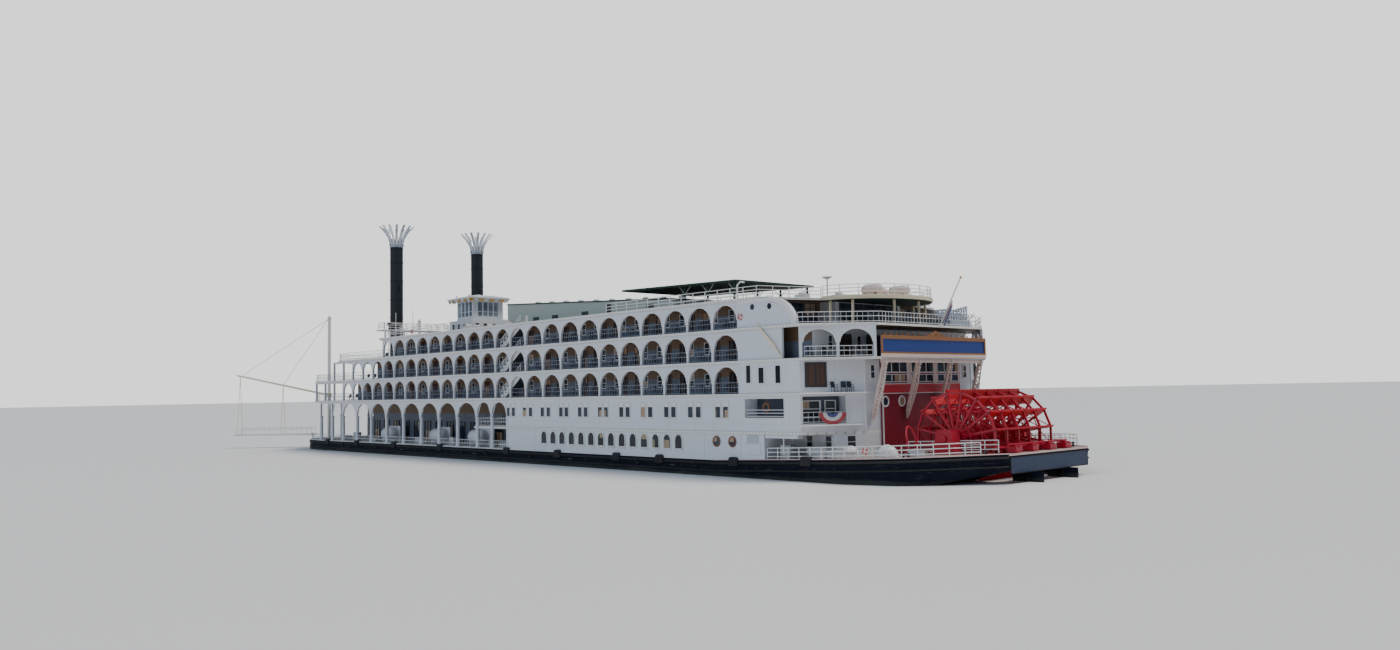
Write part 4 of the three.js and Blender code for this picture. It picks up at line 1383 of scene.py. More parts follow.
@dataclass
class HullTrim:
    """What stands proud on the hull: strakes, the pale deck edge, bitts and fenders."""

    strakes: Pairs = ((-26.0, 12.0), (-96.0, 8.0))
    edge_radius: float = 6.5
    bitt_places: Row = (11230, 10220, 9058, 7782, 6192, 5155, 4102, 3419, 2380, 1500)
    tyre_places: Row = (10700, 9560, 8420, 7228, 6650, 5700, 4620, 3760, 2900)

    def _line(self, inset: float, lift: float) -> list[Point]:
        """Return the hull's edge from the transom to the stem at an inset and a height."""
        return [(x, y - inset, main_deck_at(x) + lift)
                for x, y in (*FANTAIL_EDGE, (2600, 1360), (7000, 1360), *BOW_EDGE)]

    def build(self) -> None:
        """Build the pieces."""
        m = Maker()
        for drop, radius in self.strakes:
            m.tube(self._line(-1.0, drop), radius)
        m.mirrored().finish("hull_strakes", Paint.RUBBER, slot="hull_black", smooth=50)
        line = self._line(8.0, 3.0)
        for part in mirrored([line[:7]]):
            m.tube(part, self.edge_radius)
        m.box(-2, 6, -640, 640, 488, 503)
        m.finish("deck_edge_aft", Paint.PORT)
        m.paint(0).box(-3, 0.5, -620, 620, 348, 474)
        for z in (344, 470):
            m.paint(1).box(-5, 0.5, -624, 624, z, z + 6)
        for y in (-624, 618):
            m.paint(1).box(-5, 0.5, y, y + 6, 344, 476)
        m.finish("transom_panel", [Paint.NAVY, Paint.RUBBER], slot="hull_black")
        m.tube(line[6:], self.edge_radius).mirrored()
        m.tube([line[-1], (12744, 0, 409), (line[-1][0], -line[-1][1], line[-1][2])], self.edge_radius)
        m.finish("deck_edge_fore")
        spots = Spots.pairs([*((x, 1322, main_deck_at(x)) for x in self.bitt_places),
                             (12250, 0, MAIN_DECK), (12560, 330, MAIN_DECK),
                             (180, 720, main_deck_at(180), 60), (620, 1150, main_deck_at(620), 60)])
        Pattern(bitts).at(spots, "mooring_bitts", Paint.IRON, slot="hull_black")
        spots = Spots.pairs((x, HALF_BEAM, main_deck_at(x)) for x in self.bitt_places)
        Pattern(lambda m: m.slab([(-60, -12, -50), (-52, -12, 14), (-34, -12, 30), (34, -12, 30),
                                  (52, -12, 14), (60, -12, -50)], (0, 34, 0))).at(
            spots, "fender_chocks", Paint.RUBBER, slot="hull_black")
        spots = Spots.pairs((x, HALF_BEAM + 7, main_deck_at(x) - 44) for x in self.tyre_places)
        Pattern(lambda m: m.ring((0, 0, 0), PORTWARD, 23, 8.5, 12, 6)).at(
            spots, "tyre_fenders", Paint.RUBBER, slot="hull_black")
        for x in (1900, 3200, 4900, 6900, 8800, 10500):
            m.box(x, x + 70, 1359, 1362, 336, 348)
        m.mirrored().finish("scuppers", Paint.IRON, slot="hull_black")


@dataclass
class MainDeck:
    """The open main deck forward: rails, doors, tanks, brackets and deck gear."""

    rail: Point = (100.0, 56.0, 12.0)
    door: WindowKind = WindowKind(170, 300, 2, (0.8,), strip=10, depth=12, paint=Paint.IRON)
    tanks: Row = (7240, 8240, 9650)
    column: Pairs = ((0, 30), (30, 30), (36, 25), (190, 24), (352, 22), (362, 29), (376, 29))
    crates: tuple[Row, ...] = (
        (11080, 1130, 130, 110, 70), (10860, 1060, 90, 90, 120), (9900, 1230, 110, 60, 60),
        (8760, 1120, 150, 100, 90), (7700, 1200, 90, 80, 110), (6500, 1180, 160, 110, 70))

    def build(self) -> None:
        """Build the pieces."""
        lace = Spots()
        for a, b in zip(TALL_POSTS[2:], TALL_POSTS[3:]):
            half = (a - b - POST_WIDTH) / 2
            rise = half * 0.8
            lace.both((a + b) / 2, LACE_FACE, under("observation") - ARCH_BEAM - rise, 0,
                      (half / LACE_HALF, 1, rise / LACE_RISE))
        Pattern(arch_lace).at(lace, "main_arch_lace")
        side = [[(TALL_POSTS[0], RAIL_LINE, MAIN_DECK), (TALL_POSTS[-1], RAIL_LINE, MAIN_DECK)]]
        bow = [[(11540, RAIL_LINE, MAIN_DECK), (11900, 1302, MAIN_DECK), (12200, 1214, MAIN_DECK),
                (12325, 1128, MAIN_DECK)]]
        balcony = [[(6213, 1316, 675), (6982, 1316, 675), (6982, 938, 675)]]
        lines = mirrored(side + bow + balcony)
        rails(lines, "main_deck_rails", self.rail, 3.6)
        Pattern(baluster(100, 1.3, 4.0)).along(lines, "main_deck_balusters", 40)
        self.door.place(Spots.pairs((6420 + 310 * i, 930, 412) for i in range(14)), "main_deck_doors")
        spots = Spots()
        for y in (-560, 0, 560):
            spots.add(10600, y, 412, -90)
        DOUBLE_DOOR.place(spots, "hall_doors")
        m = Maker()
        for x in self.tanks:
            m.turned((x - 150, 1120, 530), FORWARD, [(0, 20), (12, 62), (44, 92), (256, 92),
                                                     (288, 62), (300, 20)])
            for foot in (-95, 75):
                m.box(x + foot, x + foot + 20, 1050, 1190, 408, 470)
            m.box(x - 170, x + 170, 1040, 1056, 408, 640)
        m.mirrored().finish("deck_tanks", Paint.WHITE, smooth=40)
        for x in TALL_POSTS[1:-1]:
            for way in (-1, 1):
                m.tube([(x + way * 12, 1338, 800), (x + way * 100, 1338, 964)], 5, 4)
                m.tube([(x + way * 56, 1338, 882), (x + way * 56, 1338, 966)], 3.5, 4)
        m.mirrored().finish("post_brackets", Paint.LACE)
        for x, y in [*((x, 1330) for x in TALL_POSTS[:-1]), (12230, 235), (12230, 700)]:
            m.turned((x, y, MAIN_DECK + SEAT), UP, self.column, 12)
        m.mirrored().finish("deck_columns", Paint.LACE, smooth=40)
        self._gear()

    def _gear(self) -> None:
        """Build the crates, reels and the winch on the foredeck."""
        m = Maker()
        for x, y, *size in self.crates:
            m.crate(x, y, MAIN_DECK, size)
        m.mirrored().finish("deck_lockers", Paint.GREY, bevel=3)
        for y in (-230, 230):
            m.turned((11950, y - 60, 446), PORTWARD, [(0, 36), (8, 36), (10, 20), (110, 20),
                                                      (112, 36), (120, 36)])
            m.box(11915, 11985, y - 72, y - 60, 407, 456).box(11915, 11985, y + 60, y + 72, 407, 456)
        m.turned((12660, 0, MAIN_DECK + SEAT), UP, [(0, 26), (6, 26), (8, 14), (30, 14), (34, 20),
                                                    (44, 20)], 12)
        m.finish("winches", Paint.IRON, slot="hull_black", smooth=40)


@dataclass
class Gallery:
    """A gallery level on both sides: lace, capitals, rails, doors, windows and chairs."""

    deck: str
    above: str
    first: int
    square: int
    house: Pair
    start: float | None = None
    rail: Point = (104.0, 60.0, 12.0)
    stair: Pair = (5900.0, 6450.0)
    apart: float = 62.0

    def _bays(self) -> list[tuple[int, float, float]]:
        """List the bays.

        Returns:
            Each bay's number, middle and half its clear width.
        """
        posts = POSTS[self.first:]
        return [(i, (a + b) / 2, (a - b) / 2 - POST_WIDTH / 2)
                for i, (a, b) in enumerate(zip(posts, posts[1:]))]

    def _front(self, doors: Spots, windows: Spots, chairs: Spots, tables: Spots) -> None:
        """Place the doors and windows of the house's fore end, and the seats before it.

        Args:
            doors, windows, chairs, tables: The spots that it adds to.
        """
        x, z = self.house[1], DECK[self.deck]
        for y in (110, 470, 830):
            for s in SIDES:
                doors.add(x, s * y, z + 4, -90)
                windows.add(x, s * (y + 120), z + 78, -90, (1.5, 1, 0.95))
                windows.add(x, s * (y + 215), z + 78, -90, (1.0, 1, 0.95))
        for row in range(3):
            for k in range(5):
                chairs.both(x + 320 + 230 * row, 130 + 210 * k, z + STAND, -90)
                tables.both(x + 320 + 230 * row, 235 + 210 * k, z + SEAT)

    def build(self) -> None:
        """Build the pieces."""
        z0, z1 = DECK[self.deck], under(self.above)
        lace, caps, doors, windows, chairs, tables, lamps = (Spots() for _ in range(7))
        for i, middle, half in self._bays():
            rise = half * 0.92
            spring = z1 - ARCH_BEAM - rise
            if i >= self.square:
                lace.both(middle, LACE_FACE, spring, 0, (half / LACE_HALF, 1, rise / LACE_RISE))
            caps.both(POSTS[self.first + i], RAIL_LINE, spring)
            if not self.house[0] + 110 < middle < self.house[1] - 110:
                continue
            apart = -self.apart if i % 2 else self.apart
            doors.both(middle - apart, GALLERY_WALL, z0 + 4, 0, (1, 1, (z1 - z0 - 40) / 240))
            windows.both(middle + apart, GALLERY_WALL, z0 + 78, 0, (1, 1, 0.95))
            lamps.both(middle, GALLERY_WALL, z0 + 176)
            if not self.stair[0] < middle < self.stair[1]:
                chairs.both(middle + 92, 1262, z0 + STAND)
                chairs.both(middle - 44, 1266, z0 + STAND)
                tables.both(middle + 26, 1272, z0 + SEAT)
        caps.both(POSTS[-1], RAIL_LINE, z1 - ARCH_BEAM - LACE_RISE)
        self._front(doors, windows, chairs, tables)
        tag = self.deck
        Pattern(arch_lace).at(lace, tag + "_arch_lace")
        Pattern(lambda m: m.box(-18, 18, -15, 14, -6, 3).box(-15, 15, -13, 13, 3, 10)
                ).at(caps, tag + "_capitals")
        FRENCH_DOOR.place(doors, tag + "_doors")
        CABIN_WINDOW.place(windows, tag + "_windows")
        Pattern(chair).at(chairs, tag + "_chairs", Paint.CHAIR, slot="hull_black", play=16)
        Pattern(table).at(tables, tag + "_tables", Paint.CHAIR, slot="hull_black")
        Pattern(lamp).at(lamps, tag + "_lamps", Paint.GILT, slot="bright_metal")
        line = [(POSTS[self.first], RAIL_LINE, z0), (POSTS[-1], RAIL_LINE, z0)]
        fore = rounded_front(*FRONTS[tag], FRONT_INSET, z0)
        if self.start:
            fore = [(self.start, RAIL_LINE, z0), *fore, (self.start, -RAIL_LINE, z0)]
        lines = [*mirrored([line]), fore]
        # The rails and balusters are in the blue-grey of painted shade.
        rails(lines, tag + "_rails", self.rail, 2.4, Paint.SHADED_RAIL)
        Pattern(baluster(102, 1.0, 2.6)).along(lines, tag + "_balusters", 38, Paint.SHADED_RAIL)


@dataclass
class DeckEdges:
    """Scalloped trim under the decks' edges and a moulding along them."""

    pitch: float = 29.0
    ends: dict[str, Point] = field(default_factory=lambda: {
        "observation": (1562, 1282, 824), "texas": (1542, 1097, 804), "sun": (1542, 1122, 804),
        "roof": (2052, 1852, 700)})

    def build(self) -> None:
        """Build the pieces."""
        lines, mouldings = [], []
        for deck, (aft, x, y) in self.ends.items():
            z = under(deck)
            front = rounded_front(*FRONTS[deck], 5, z)
            lines.append([(aft, HALF_BEAM - 5, z), *front, (aft, 5 - HALF_BEAM, z)])
            high = z + 16
            mouldings.append([(aft, HALF_BEAM + 1, high), *rounded_front(*FRONTS[deck], -1, high),
                              (aft, -HALF_BEAM - 1, high)])
            mouldings += mirrored([[(aft, HALF_BEAM + 1, high), (x - 4, y, high)],
                                   [(aft, HALF_BEAM - 2, z + 2), (x - 2, y, z + 2)]])
        lines += mirrored([[(6215, 1354, 655), (6985, 1322, 655)]])
        Pattern(scallop(22, 8)).along(lines, "edge_scallops", self.pitch)
        m = Maker()
        for line in mouldings:
            m.tube(line, 4.5, 5)
        m.finish("edge_mouldings", smooth=60)


@dataclass
class SideWalls:
    """The white side aft of the galleries' houses: windows, ports, vents and mouldings."""

    arched: Row = (5426, 5250, 5078, 4900, 4726, 4547, 4375, 4201, 4021, 3841, 3663, 3485, 3311, 3141)
    pairs: Pairs = (
        (6108, 114), (5754, 124), (5394, 118), (5041, 104), (4689, 106), (4332, 104), (3970, 104),
        (3615, 112), (3260, 106), (2906, 112), (2530, 104))
    ports: Row = (2612, 2402)
    upper: tuple[tuple[float, float, float, float], ...] = (
        (2174, 1106, 62, 170), (2014, 1103, 74, 148), (1809, 1099, 68, 166))
    high_ports: Pairs = ((2113, 1797), (1902, 1790))
    bands: tuple[tuple[float, float, float], ...] = (
        (651, 2000, 6200), (1001, 1560, 6200), (676, 1990, 6200), (1296, 1562, 2287))
    round_middle: Pair = (1900, 1614)
    round_reach: Pair = (320, 254)
    rings: tuple[Point, ...] = ((2269, 1354, 1716), (888, 1335, 535), (8600, 1330, 1934))

    def build(self) -> None:
        """Build the pieces."""
        spots = Spots.pairs((x, WALL, 496) for x in self.arched)
        WindowKind(110, 138, arch=True, strip=6, depth=10, glass=Paint.DIM,
                   sill=3).place(spots, "side_arched_windows")
        spots = Spots.pairs((x + way * gap / 2, WALL, 796) for x, gap in self.pairs for way in (-1, 1))
        WindowKind(78, 150, strip=5, depth=9, sill=3, blind=0.30).place(spots, "side_tall_windows")
        spots = Spots.pairs((x, WALL, z, 0, (width / 72, 1, height / 160))
                            for x, z, width, height in self.upper)
        WindowKind(78, 162, strip=7, depth=9, glass=Paint.DIM, sill=3).place(spots, "quarter_windows")
        m = Maker()
        for x in self.ports:
            m.paint(0).ring((x, WALL + 1, 582), PORTWARD, 46, 8, 20, 6)
            m.paint(1).turned((x, WALL - 1, 582), PORTWARD, [(0, 44), (3, 44)], 20)
        for x, z in self.high_ports:
            m.paint(2).ring((x, PANEL_FACE + 1, z), PORTWARD, 33, 6, 16, 6)
            m.paint(1).turned((x, PANEL_FACE - 1, z), PORTWARD, [(0, 31), (3, 31)])
        m.mirrored().finish("side_ports", [Paint.BROWN, Paint.GLASS, Paint.TRIM], smooth=50)
        for i in range(7):
            m.box(2072, 2208, WALL, WALL + 5, 584 + 12 * i, 591 + 12 * i)
        m.box(2066, 2214, WALL, WALL + 3, 576, 672)
        m.mirrored().finish("side_vents", Paint.GREY, bevel=1)
        for z, x0, x1 in self.bands:
            m.box(x0, x1, WALL - 2, WALL + 7, z, z + 5)
        for x in (5600, 2780, 2290):
            m.box(x, x + 8, WALL - 2, WALL + 4, 430, 651)
        m.box(6192, 6204, WALL - 2, WALL + 6, 406, 997).box(5880, 5888, WALL, WALL + 4, 680, 997)
        m.box(1600, 1990, 1288, WALL, 622, 655).box(2279, 2293, WALL - 4, PANEL_FACE + 8, 1017, 1298)
        m.mirrored().finish("side_mouldings", Paint.WHITE, bevel=1.5)
        m.box(2045, 2240, WALL - 2, WALL + 4, 466, 572).box(2053, 2232, WALL, WALL + 7, 474, 564)
        m.mirrored().finish("side_doors", Paint.WHITE, bevel=1.5)
        (x0, z0), (dx, dz) = self.round_middle, self.round_reach
        band = [(x0 - dx * cos(a) * s, z0 + dz * sin(a) * s) for s in (1.0, 0.86) for a in sweep(pi / 2, 12)]
        for k in range(12):
            ring = [band[k], band[k + 1], band[k + 14], band[k + 13]]
            m.slab([(x, PANEL_FACE - 1, z) for x, z in ring], (0, 24, 0))
        m.box(1892, 2300, PANEL_FACE - 1, PANEL_FACE + 8, 1836, 1868)
        m.mirrored().finish("quarter_round", smooth=30)
        for x0, z in ((2010, 1592), (2046, 1640), (1986, 1560)):
            m.tube([(x0, PANEL_FACE + 20, z), (x0 - 226, PANEL_FACE + 20, z - 216)], 5.5)
        for k in range(9):
            x, z = 1996 - 27 * k, 1574 - 26 * k
            m.box(x - 10, x + 18, PANEL_FACE, PANEL_FACE + 24, z - 2, z + 2)
        m.mirrored().finish("side_ladders", Paint.CREAM)
        self._recess()

    def _recess(self) -> None:
        """Build the side recess: a dark sheet of painted shade at its back, its rail and wreath-like ring.
        """
        m = Maker()
        # A thin dark sheet of painted shade at the back of the recess.
        m.box(1752, 2228, 1192.5, 1196, 802, 968)
        m.mirrored().finish("recess_lining", Paint.SHADE)
        m.ring((1995, 1318, 893), PORTWARD, 34, 11, 20, 6).tube([(1995, 1318, 936), (1995, 1318, 972)], 3)
        m.mirrored().finish("recess_ring", Paint.BROWN, slot="wheel_red", smooth=60)
        line = mirrored([[(1752, 1343, 800), (2228, 1343, 800)]])
        rails(line, "recess_rails", (70, 42, 14), 3.5)
        for a, b in (((1740, 1750), (800, 970)), ((2230, 2240), (800, 970))):
            m.box(*a, WALL - 2, WALL + 5, *b)
        m.box(1740, 2240, WALL - 2, WALL + 5, 792, 800).box(1740, 2240, WALL - 2, WALL + 5, 970, 978)
        m.mirrored().finish("recess_frames")
        life_rings("life_rings", self.rings)


@dataclass
class SternQuarters:
    """The cut-off corners: doors, windows, balconies, recess rails, bunting and stern decks."""

    angle: float = 62.24
    start: Pair = (1280, 820)
    arcade: Pair = (1130, 830)
    arcade_angle: float = 50.3
    arcade_bays: Pair = (175.75, 497.25)
    arcade_spring: float = 1451.4
    arcade_arch: Pair = (145.75, 116.6)

    def _on(self, along: float, out: float, z: float) -> Point:
        """Return a place on the port corner.

        Args:
            along: Distance along the corner from its aft end.
            out: Distance out from its wall.
            z: Height.

        Returns:
            The place.
        """
        a = radians(self.angle)
        return (self.start[0] + along * cos(a) - out * sin(a),
                self.start[1] + along * sin(a) + out * cos(a), z)

    def build(self) -> None:
        """Build the pieces."""
        doors, windows = Spots(), Spots()
        doors.both(*self._on(455, 0, 1062), self.angle)
        for y in (750, 330, -60, -400, -750):
            doors.add(STERN_WALL, y, 1322, 90)
        DOUBLE_DOOR.place(doors, "stern_doors")
        for along, wide in ((450, 2.4), (272, 1.4)):
            windows.both(*self._on(along, -146, 800), self.angle, (wide, 1, 1.2))
        windows.both(1279.5, 712, 1130, 90, (0.8, 1, 1.0))
        lights = Spots()
        for k in range(5):
            lights.add(1860, 180 * (k - 2), 1634, 90)
        for k in range(3):
            lights.both(2050, 640 + 185 * k, 1634, 90)
        LOUNGE_LIGHT.place(lights, "lounge_lights")
        for y in (940, 540, 130, -240, -560, -940):
            windows.add(STERN_WALL, y, 1400, 90, (0.8, 1, 1.0))
        for x in (1480, 1700):
            windows.both(x, 1080, 540, 0, (1.0, 1, 0.8))
        windows.both(1340, 950, 530, 65, (1.2, 1, 0.9))
        CABIN_WINDOW.place(windows, "stern_windows")
        Maker().box(1558.4, 1559.3, -1180, 1180, 1321, 1590).finish("stern_cladding", Paint.LACE)
        turn = radians(self.arcade_angle)
        lace = Spots()
        for along in self.arcade_bays:
            x = self.arcade[0] + along * cos(turn) + 2.5 * sin(turn)
            y = self.arcade[1] + along * sin(turn) - 2.5 * cos(turn)
            half, rise = self.arcade_arch
            lace.both(x, y, self.arcade_spring, self.arcade_angle, (half / LACE_HALF, 1, rise / LACE_RISE))
        Pattern(arch_lace).at(lace, "corner_arch_lace")
        m = Maker()
        # A thin dark sheet of painted shade inside each corner recess.
        m.slab([self._on(a, o, 752) for a, o in ((185, -149), (185, -146), (581, -146), (581, -149))],
               (0, 0, 231))
        m.mirrored().finish("corner_lining", Paint.SHADE)
        for z, out, end in ((1004, 84, 18), (728, 62, 60)):
            m.slab([self._on(a, o, z) for a, o in ((end, -3), (end, out), (590, out), (600, -3))],
                   (0, 0, 12))
            m.tube([self._on(end, out, z + 6), self._on(590, out, z + 6)], 7)
        m.mirrored().finish("corner_balconies")
        chairs = Spots()
        for along in (150, 215, 300):
            chairs.both(*self._on(along, 38, 1016.5), self.angle)
        for k in range(8):
            chairs.both(1230 + 12 * (k % 2), 60 + 96 * k, 1614.5, 90)
        for along in (180, 330, 470):
            chairs.both(*self._on(along, -70, 1318.5), self.angle)
        Pattern(chair).at(chairs, "corner_chairs", Paint.CHAIR, slot="hull_black", play=20)
        lines = mirrored([
            [self._on(188, -6, 750), self._on(578, -6, 750)],
            [(1122, 700, 1614), (1122, 795, 1614), (1545, 1332, 1614), (1580, 1336, 1614)],
            [(1150, 862, 1318), (1530, 1318, 1318)],
        ]) + [[(1126, y, 1614) for y in (700, 0, -700)]]
        rails(lines, "stern_rails", (98, 58, 14), 3.2)
        Pattern(baluster(96, 1.1, 2.8)).along(lines, "stern_balusters", 46)
        for a0, a1, z0, z1 in ((173, 183, 742, 993), (583, 593, 742, 993), (183, 583, 742, 750),
                               (183, 583, 985, 993), (596, 606, 676, 1300), (-6, 4, 676, 1300)):
            face = [self._on(a0, -1, z0), self._on(a1, -1, z0), self._on(a1, -1, z1), self._on(a0, -1, z1)]
            m.slab(face, tuple(Vector(self._on(0, 6, 0)) - Vector(self._on(0, 0, 0))))
        m.mirrored().finish("corner_mouldings")
        self._bunting()

    def _bunting(self) -> None:
        """Hang a pleated half-round of striped cloth on each corner recess's rail."""
        for side, name in NAMED_SIDES:
            rows, spokes = 10, 49
            points, stripes = [], []
            for r in range(rows):
                radius = 14 + 96 * r / (rows - 1)
                for k in range(spokes):
                    a = pi * k / (spokes - 1)
                    pleat = 6.0 * sin(k * pi / 2 + 0.6) * r / (rows - 1)
                    x, y, z = self._on(312 + radius * cos(a) * 1.15, 9 + pleat + r * 0.6,
                                       842 - radius * sin(a) * 0.92)
                    points.append((x, side * y, z))
                    stripes.append((rows - 1 - r) / (rows - 1) * 0.999)
            cloth = Maker().cloth(points, spokes, stripes).finish(
                f"{name}_bunting", Paint.CLOTH, slot="facade_red", smooth=180)


@dataclass
class Facade:
    """The stern wall, its windows and band, the blank blue panel's frame and the struts' lace."""

    groups: Row = (405, 0, -405)
    ports: Row = (560, 320, -320, -560)
    struts: Row = (-740, -250, 250, 740)
    wall: float = 1262.0

    def build(self) -> None:
        """Build the pieces."""
        spots = Spots()
        for y in self.groups:
            spots.add(self.wall, y, 1180, 90, (1, 1, 1.06))
            spots.add(self.wall, y, 1096, 90, (1, 1, 0.68))
        WindowKind(352, 106, 3, (), strip=9, depth=10).place(spots, "facade_windows")
        m = Maker()
        m.paint(0).box(1256, 1261.6, -604, 604, 1000, 1078)
        for z in (993, 1078):
            m.paint(1).box(1252, 1261.6, -606, 606, z, z + 7)
        for y0, y1 in ((-604, -582), (-228, -177), (177, 228), (582, 604)):
            m.paint(2).box(1256, 1261.7, y0, y1, 1085, 1297)
        for y in (-606, 598):
            m.paint(1).box(1251.5, 1261.6, y, y + 8, 520, 1297)
        for y in self.ports:
            m.paint(1).ring((1261, y, 926), FORWARD, 44, 8, 20, 6)
            m.paint(3).turned((1262.5, y, 926), (-1, 0, 0), [(0, 42), (3, 42)], 20)
        m.finish("facade_trim", [Paint.BAND, Paint.TRIM, Paint.STRUT, Paint.GLASS], slot="facade_red",
                 smooth=40)
        for y0, y1, z0, z1 in ((-812, 812, 1472, 1506), (-812, 812, 1344, 1360),
                               (-812, -790, 1360, 1472), (790, 812, 1360, 1472)):
            m.box(1090, 1099, y0, y1, z0, z1)
        m.paint(1).box(1088, 1099, -812, 812, 1312, 1344).paint(0)
        m.slab([(1092, 150, 1506), (1092, 0, 1560), (1092, -150, 1506)], (10, 0, 0))
        for i in range(-9, 10):
            m.turned((1095, 84 * i, 1506), UP, [(0, 7), (8, 4), (14, 9), (24, 1)], 6)
        m.ring((1092, 0, 1524), FORWARD, 15, 3.5, 12, 5)
        m.finish("panel_frame", [Paint.FRAME, Paint.STRUT], slot="sign_blue")
        spots = Spots()
        for y in self.struts:
            for k in range(13):
                s = k / 12
                spots.add(1102 + 150 * s, y, 1262 - 440 * s, 0, (1 + s * 0.5, 1, 1 + s * 0.5))
        Pattern(lambda m: m.ring((0, 0, 0), PORTWARD, 17, 4.5, 10, 5)).at(
            spots, "strut_scrolls", Paint.STRUT)
        for y in self.struts:
            curve = [(1098 + 160 * t - 34 * sin(pi * t), 1300 - 530 * t)
                     for t in (k / 10 for k in range(11))]
            m.tube([(x, y, z) for x, z in curve], 7)
        m.finish("strut_edges", Paint.STRUT, smooth=40)


@dataclass
class WheelDress:
    """Boards, tie rings and hub plates of the paddle wheel."""

    centre: Point = (620, 0, 610)
    arms: int = 16
    rims: int = 6
    half: float = 455.0

    def _polar(self, radius: float, turn: float, y: float) -> Point:
        """Return a place at a radius, at so many arms' turn and across the wheel."""
        a = 2 * pi * (turn + 0.5) / self.arms
        return (self.centre[0] + radius * cos(a), y, self.centre[2] + radius * sin(a))

    def build(self) -> None:
        """Build the pieces."""
        places = [-self.half + 8 + (2 * self.half - 16) * i / (self.rims - 1) for i in range(self.rims)]
        m = Maker()
        for y in places:
            for radius in (150, 265):
                ring = [self._polar(radius, k, y) for k in range(self.arms)]
                m.tube(ring, 5.5, 4, closed=True)
            m.turned((self.centre[0], y - 9, self.centre[2]), PORTWARD,
                     [(0, 84), (2, 92), (16, 92), (18, 84)])
            for k in range(self.arms):
                m.tube([self._polar(265, k, y), self._polar(386, k + 1, y)], 4.2, 4)
        for k in range(self.arms):
            m.tube([self._polar(265, k, -self.half + 6), self._polar(265, k, self.half - 6)], 5, 4)
            m.tube([self._polar(398, k, -self.half + 6), self._polar(398, k, self.half - 6)], 5, 4)
        m.finish("wheel_ties", Paint.WHEEL, "paddle_wheel", "wheel_red")
        for k in range(self.arms):
            for left, right in zip(places, places[1:]):
                corner = [self._polar(r, k + o, left + 6) for r, o in (
                    (334, 0.038), (414, 0.031), (414, 0.074), (334, 0.090))]
                m.slab(corner, (0, right - left - 12, 0))
        m.finish("wheel_boards", Paint.PADDLE, "paddle_wheel", "wheel_red")
        spots = Spots()
        for k in range(self.arms):
            for y in places:
                for radius in (352, 394):
                    x, _, z = self._polar(radius, k + 0.082, 0)
                    spots.add(x, y + 14, z)
        Pattern(lambda m: m.turned((0, 0, 0), FORWARD, [(-9, 3.5), (9, 3.5)], 6)).at(
            spots, "wheel_bolts", Paint.IRON, "paddle_wheel", "wheel_red")


@dataclass
class Fantail:
    """The open stern: rails, ventilators, red pipes, gear by the transom and lockers."""

    rail: Point = (104.0, 68.0, 30.0)
    dome: Pairs = ((0, 62), (20, 92), (52, 104), (84, 92), (104, 62))
    lockers: tuple[Row, ...] = (
        (1500, 1220, 150, 90, 90), (1350, 1160, 110, 80, 60), (1820, 1230, 120, 90, 120),
        (1120, 760, 110, 120, 80), (700, 900, 90, 120, 55))

    def build(self) -> None:
        """Build the pieces."""
        edge = [(x, y - 26, main_deck_at(x)) for x, y in FANTAIL_EDGE[1:]] + [
            (1980, 1334, main_deck_at(1980))]
        well = [(170, 512, 500), (1060, 512, 468)]
        lines = mirrored([edge, well])
        rails(lines, "fantail_rails", self.rail, 4.8)
        Pattern(lambda m: m.box(-3.5, 3.5, -3.5, 3.5, 0, 104)).along(lines, "fantail_stanchions", 118)
        m = Maker()
        m.turned((840, 1048, main_deck_at(840) + 8), PORTWARD, self.dome, 24)
        m.turned((1160, 1180, main_deck_at(1160)), UP, [(0, 30), (50, 30), (60, 52), (92, 46), (108, 20)])
        m.tube([(1785, 1330, 478), (1785, 1330, 640), (1785, 1360, 668)], 6)
        m.mirrored().finish("ventilators", smooth=50)
        arc = [(815 + 30 * sin(a), 800 + 62 * cos(a), 600 + 118 * sin(a)) for a in sweep(pi, 12)]
        m.tube([(815, 862, 470), *arc, (815, 738, 470)], 9, 8)
        m.mirrored().finish("red_pipes", Paint.WHEEL, slot="wheel_red", smooth=40)
        for y in (-420, -160, 120, 380):
            m.box(60, 150, y - 46, y + 46, 500.6, 548).tube([(50, y, 548), (165, y, 560)], 9)
        m.tube([(108, -470, 566), (108, 470, 566)], 8, 8)
        m.finish("red_gear", Paint.WHEEL, slot="wheel_red", smooth=40)
        for x, y, *size in self.lockers:
            m.crate(x, y, main_deck_at(x - size[0] / 2), size)
        m.mirrored().finish("stern_lockers", Paint.GREY, bevel=3)
        for s in SIDES:
            m.tube([(55, s * 280, 380), (55, s * 280, 430)], 22, 10)
        m.finish("rudder_glands", Paint.IRON, slot="hull_black")


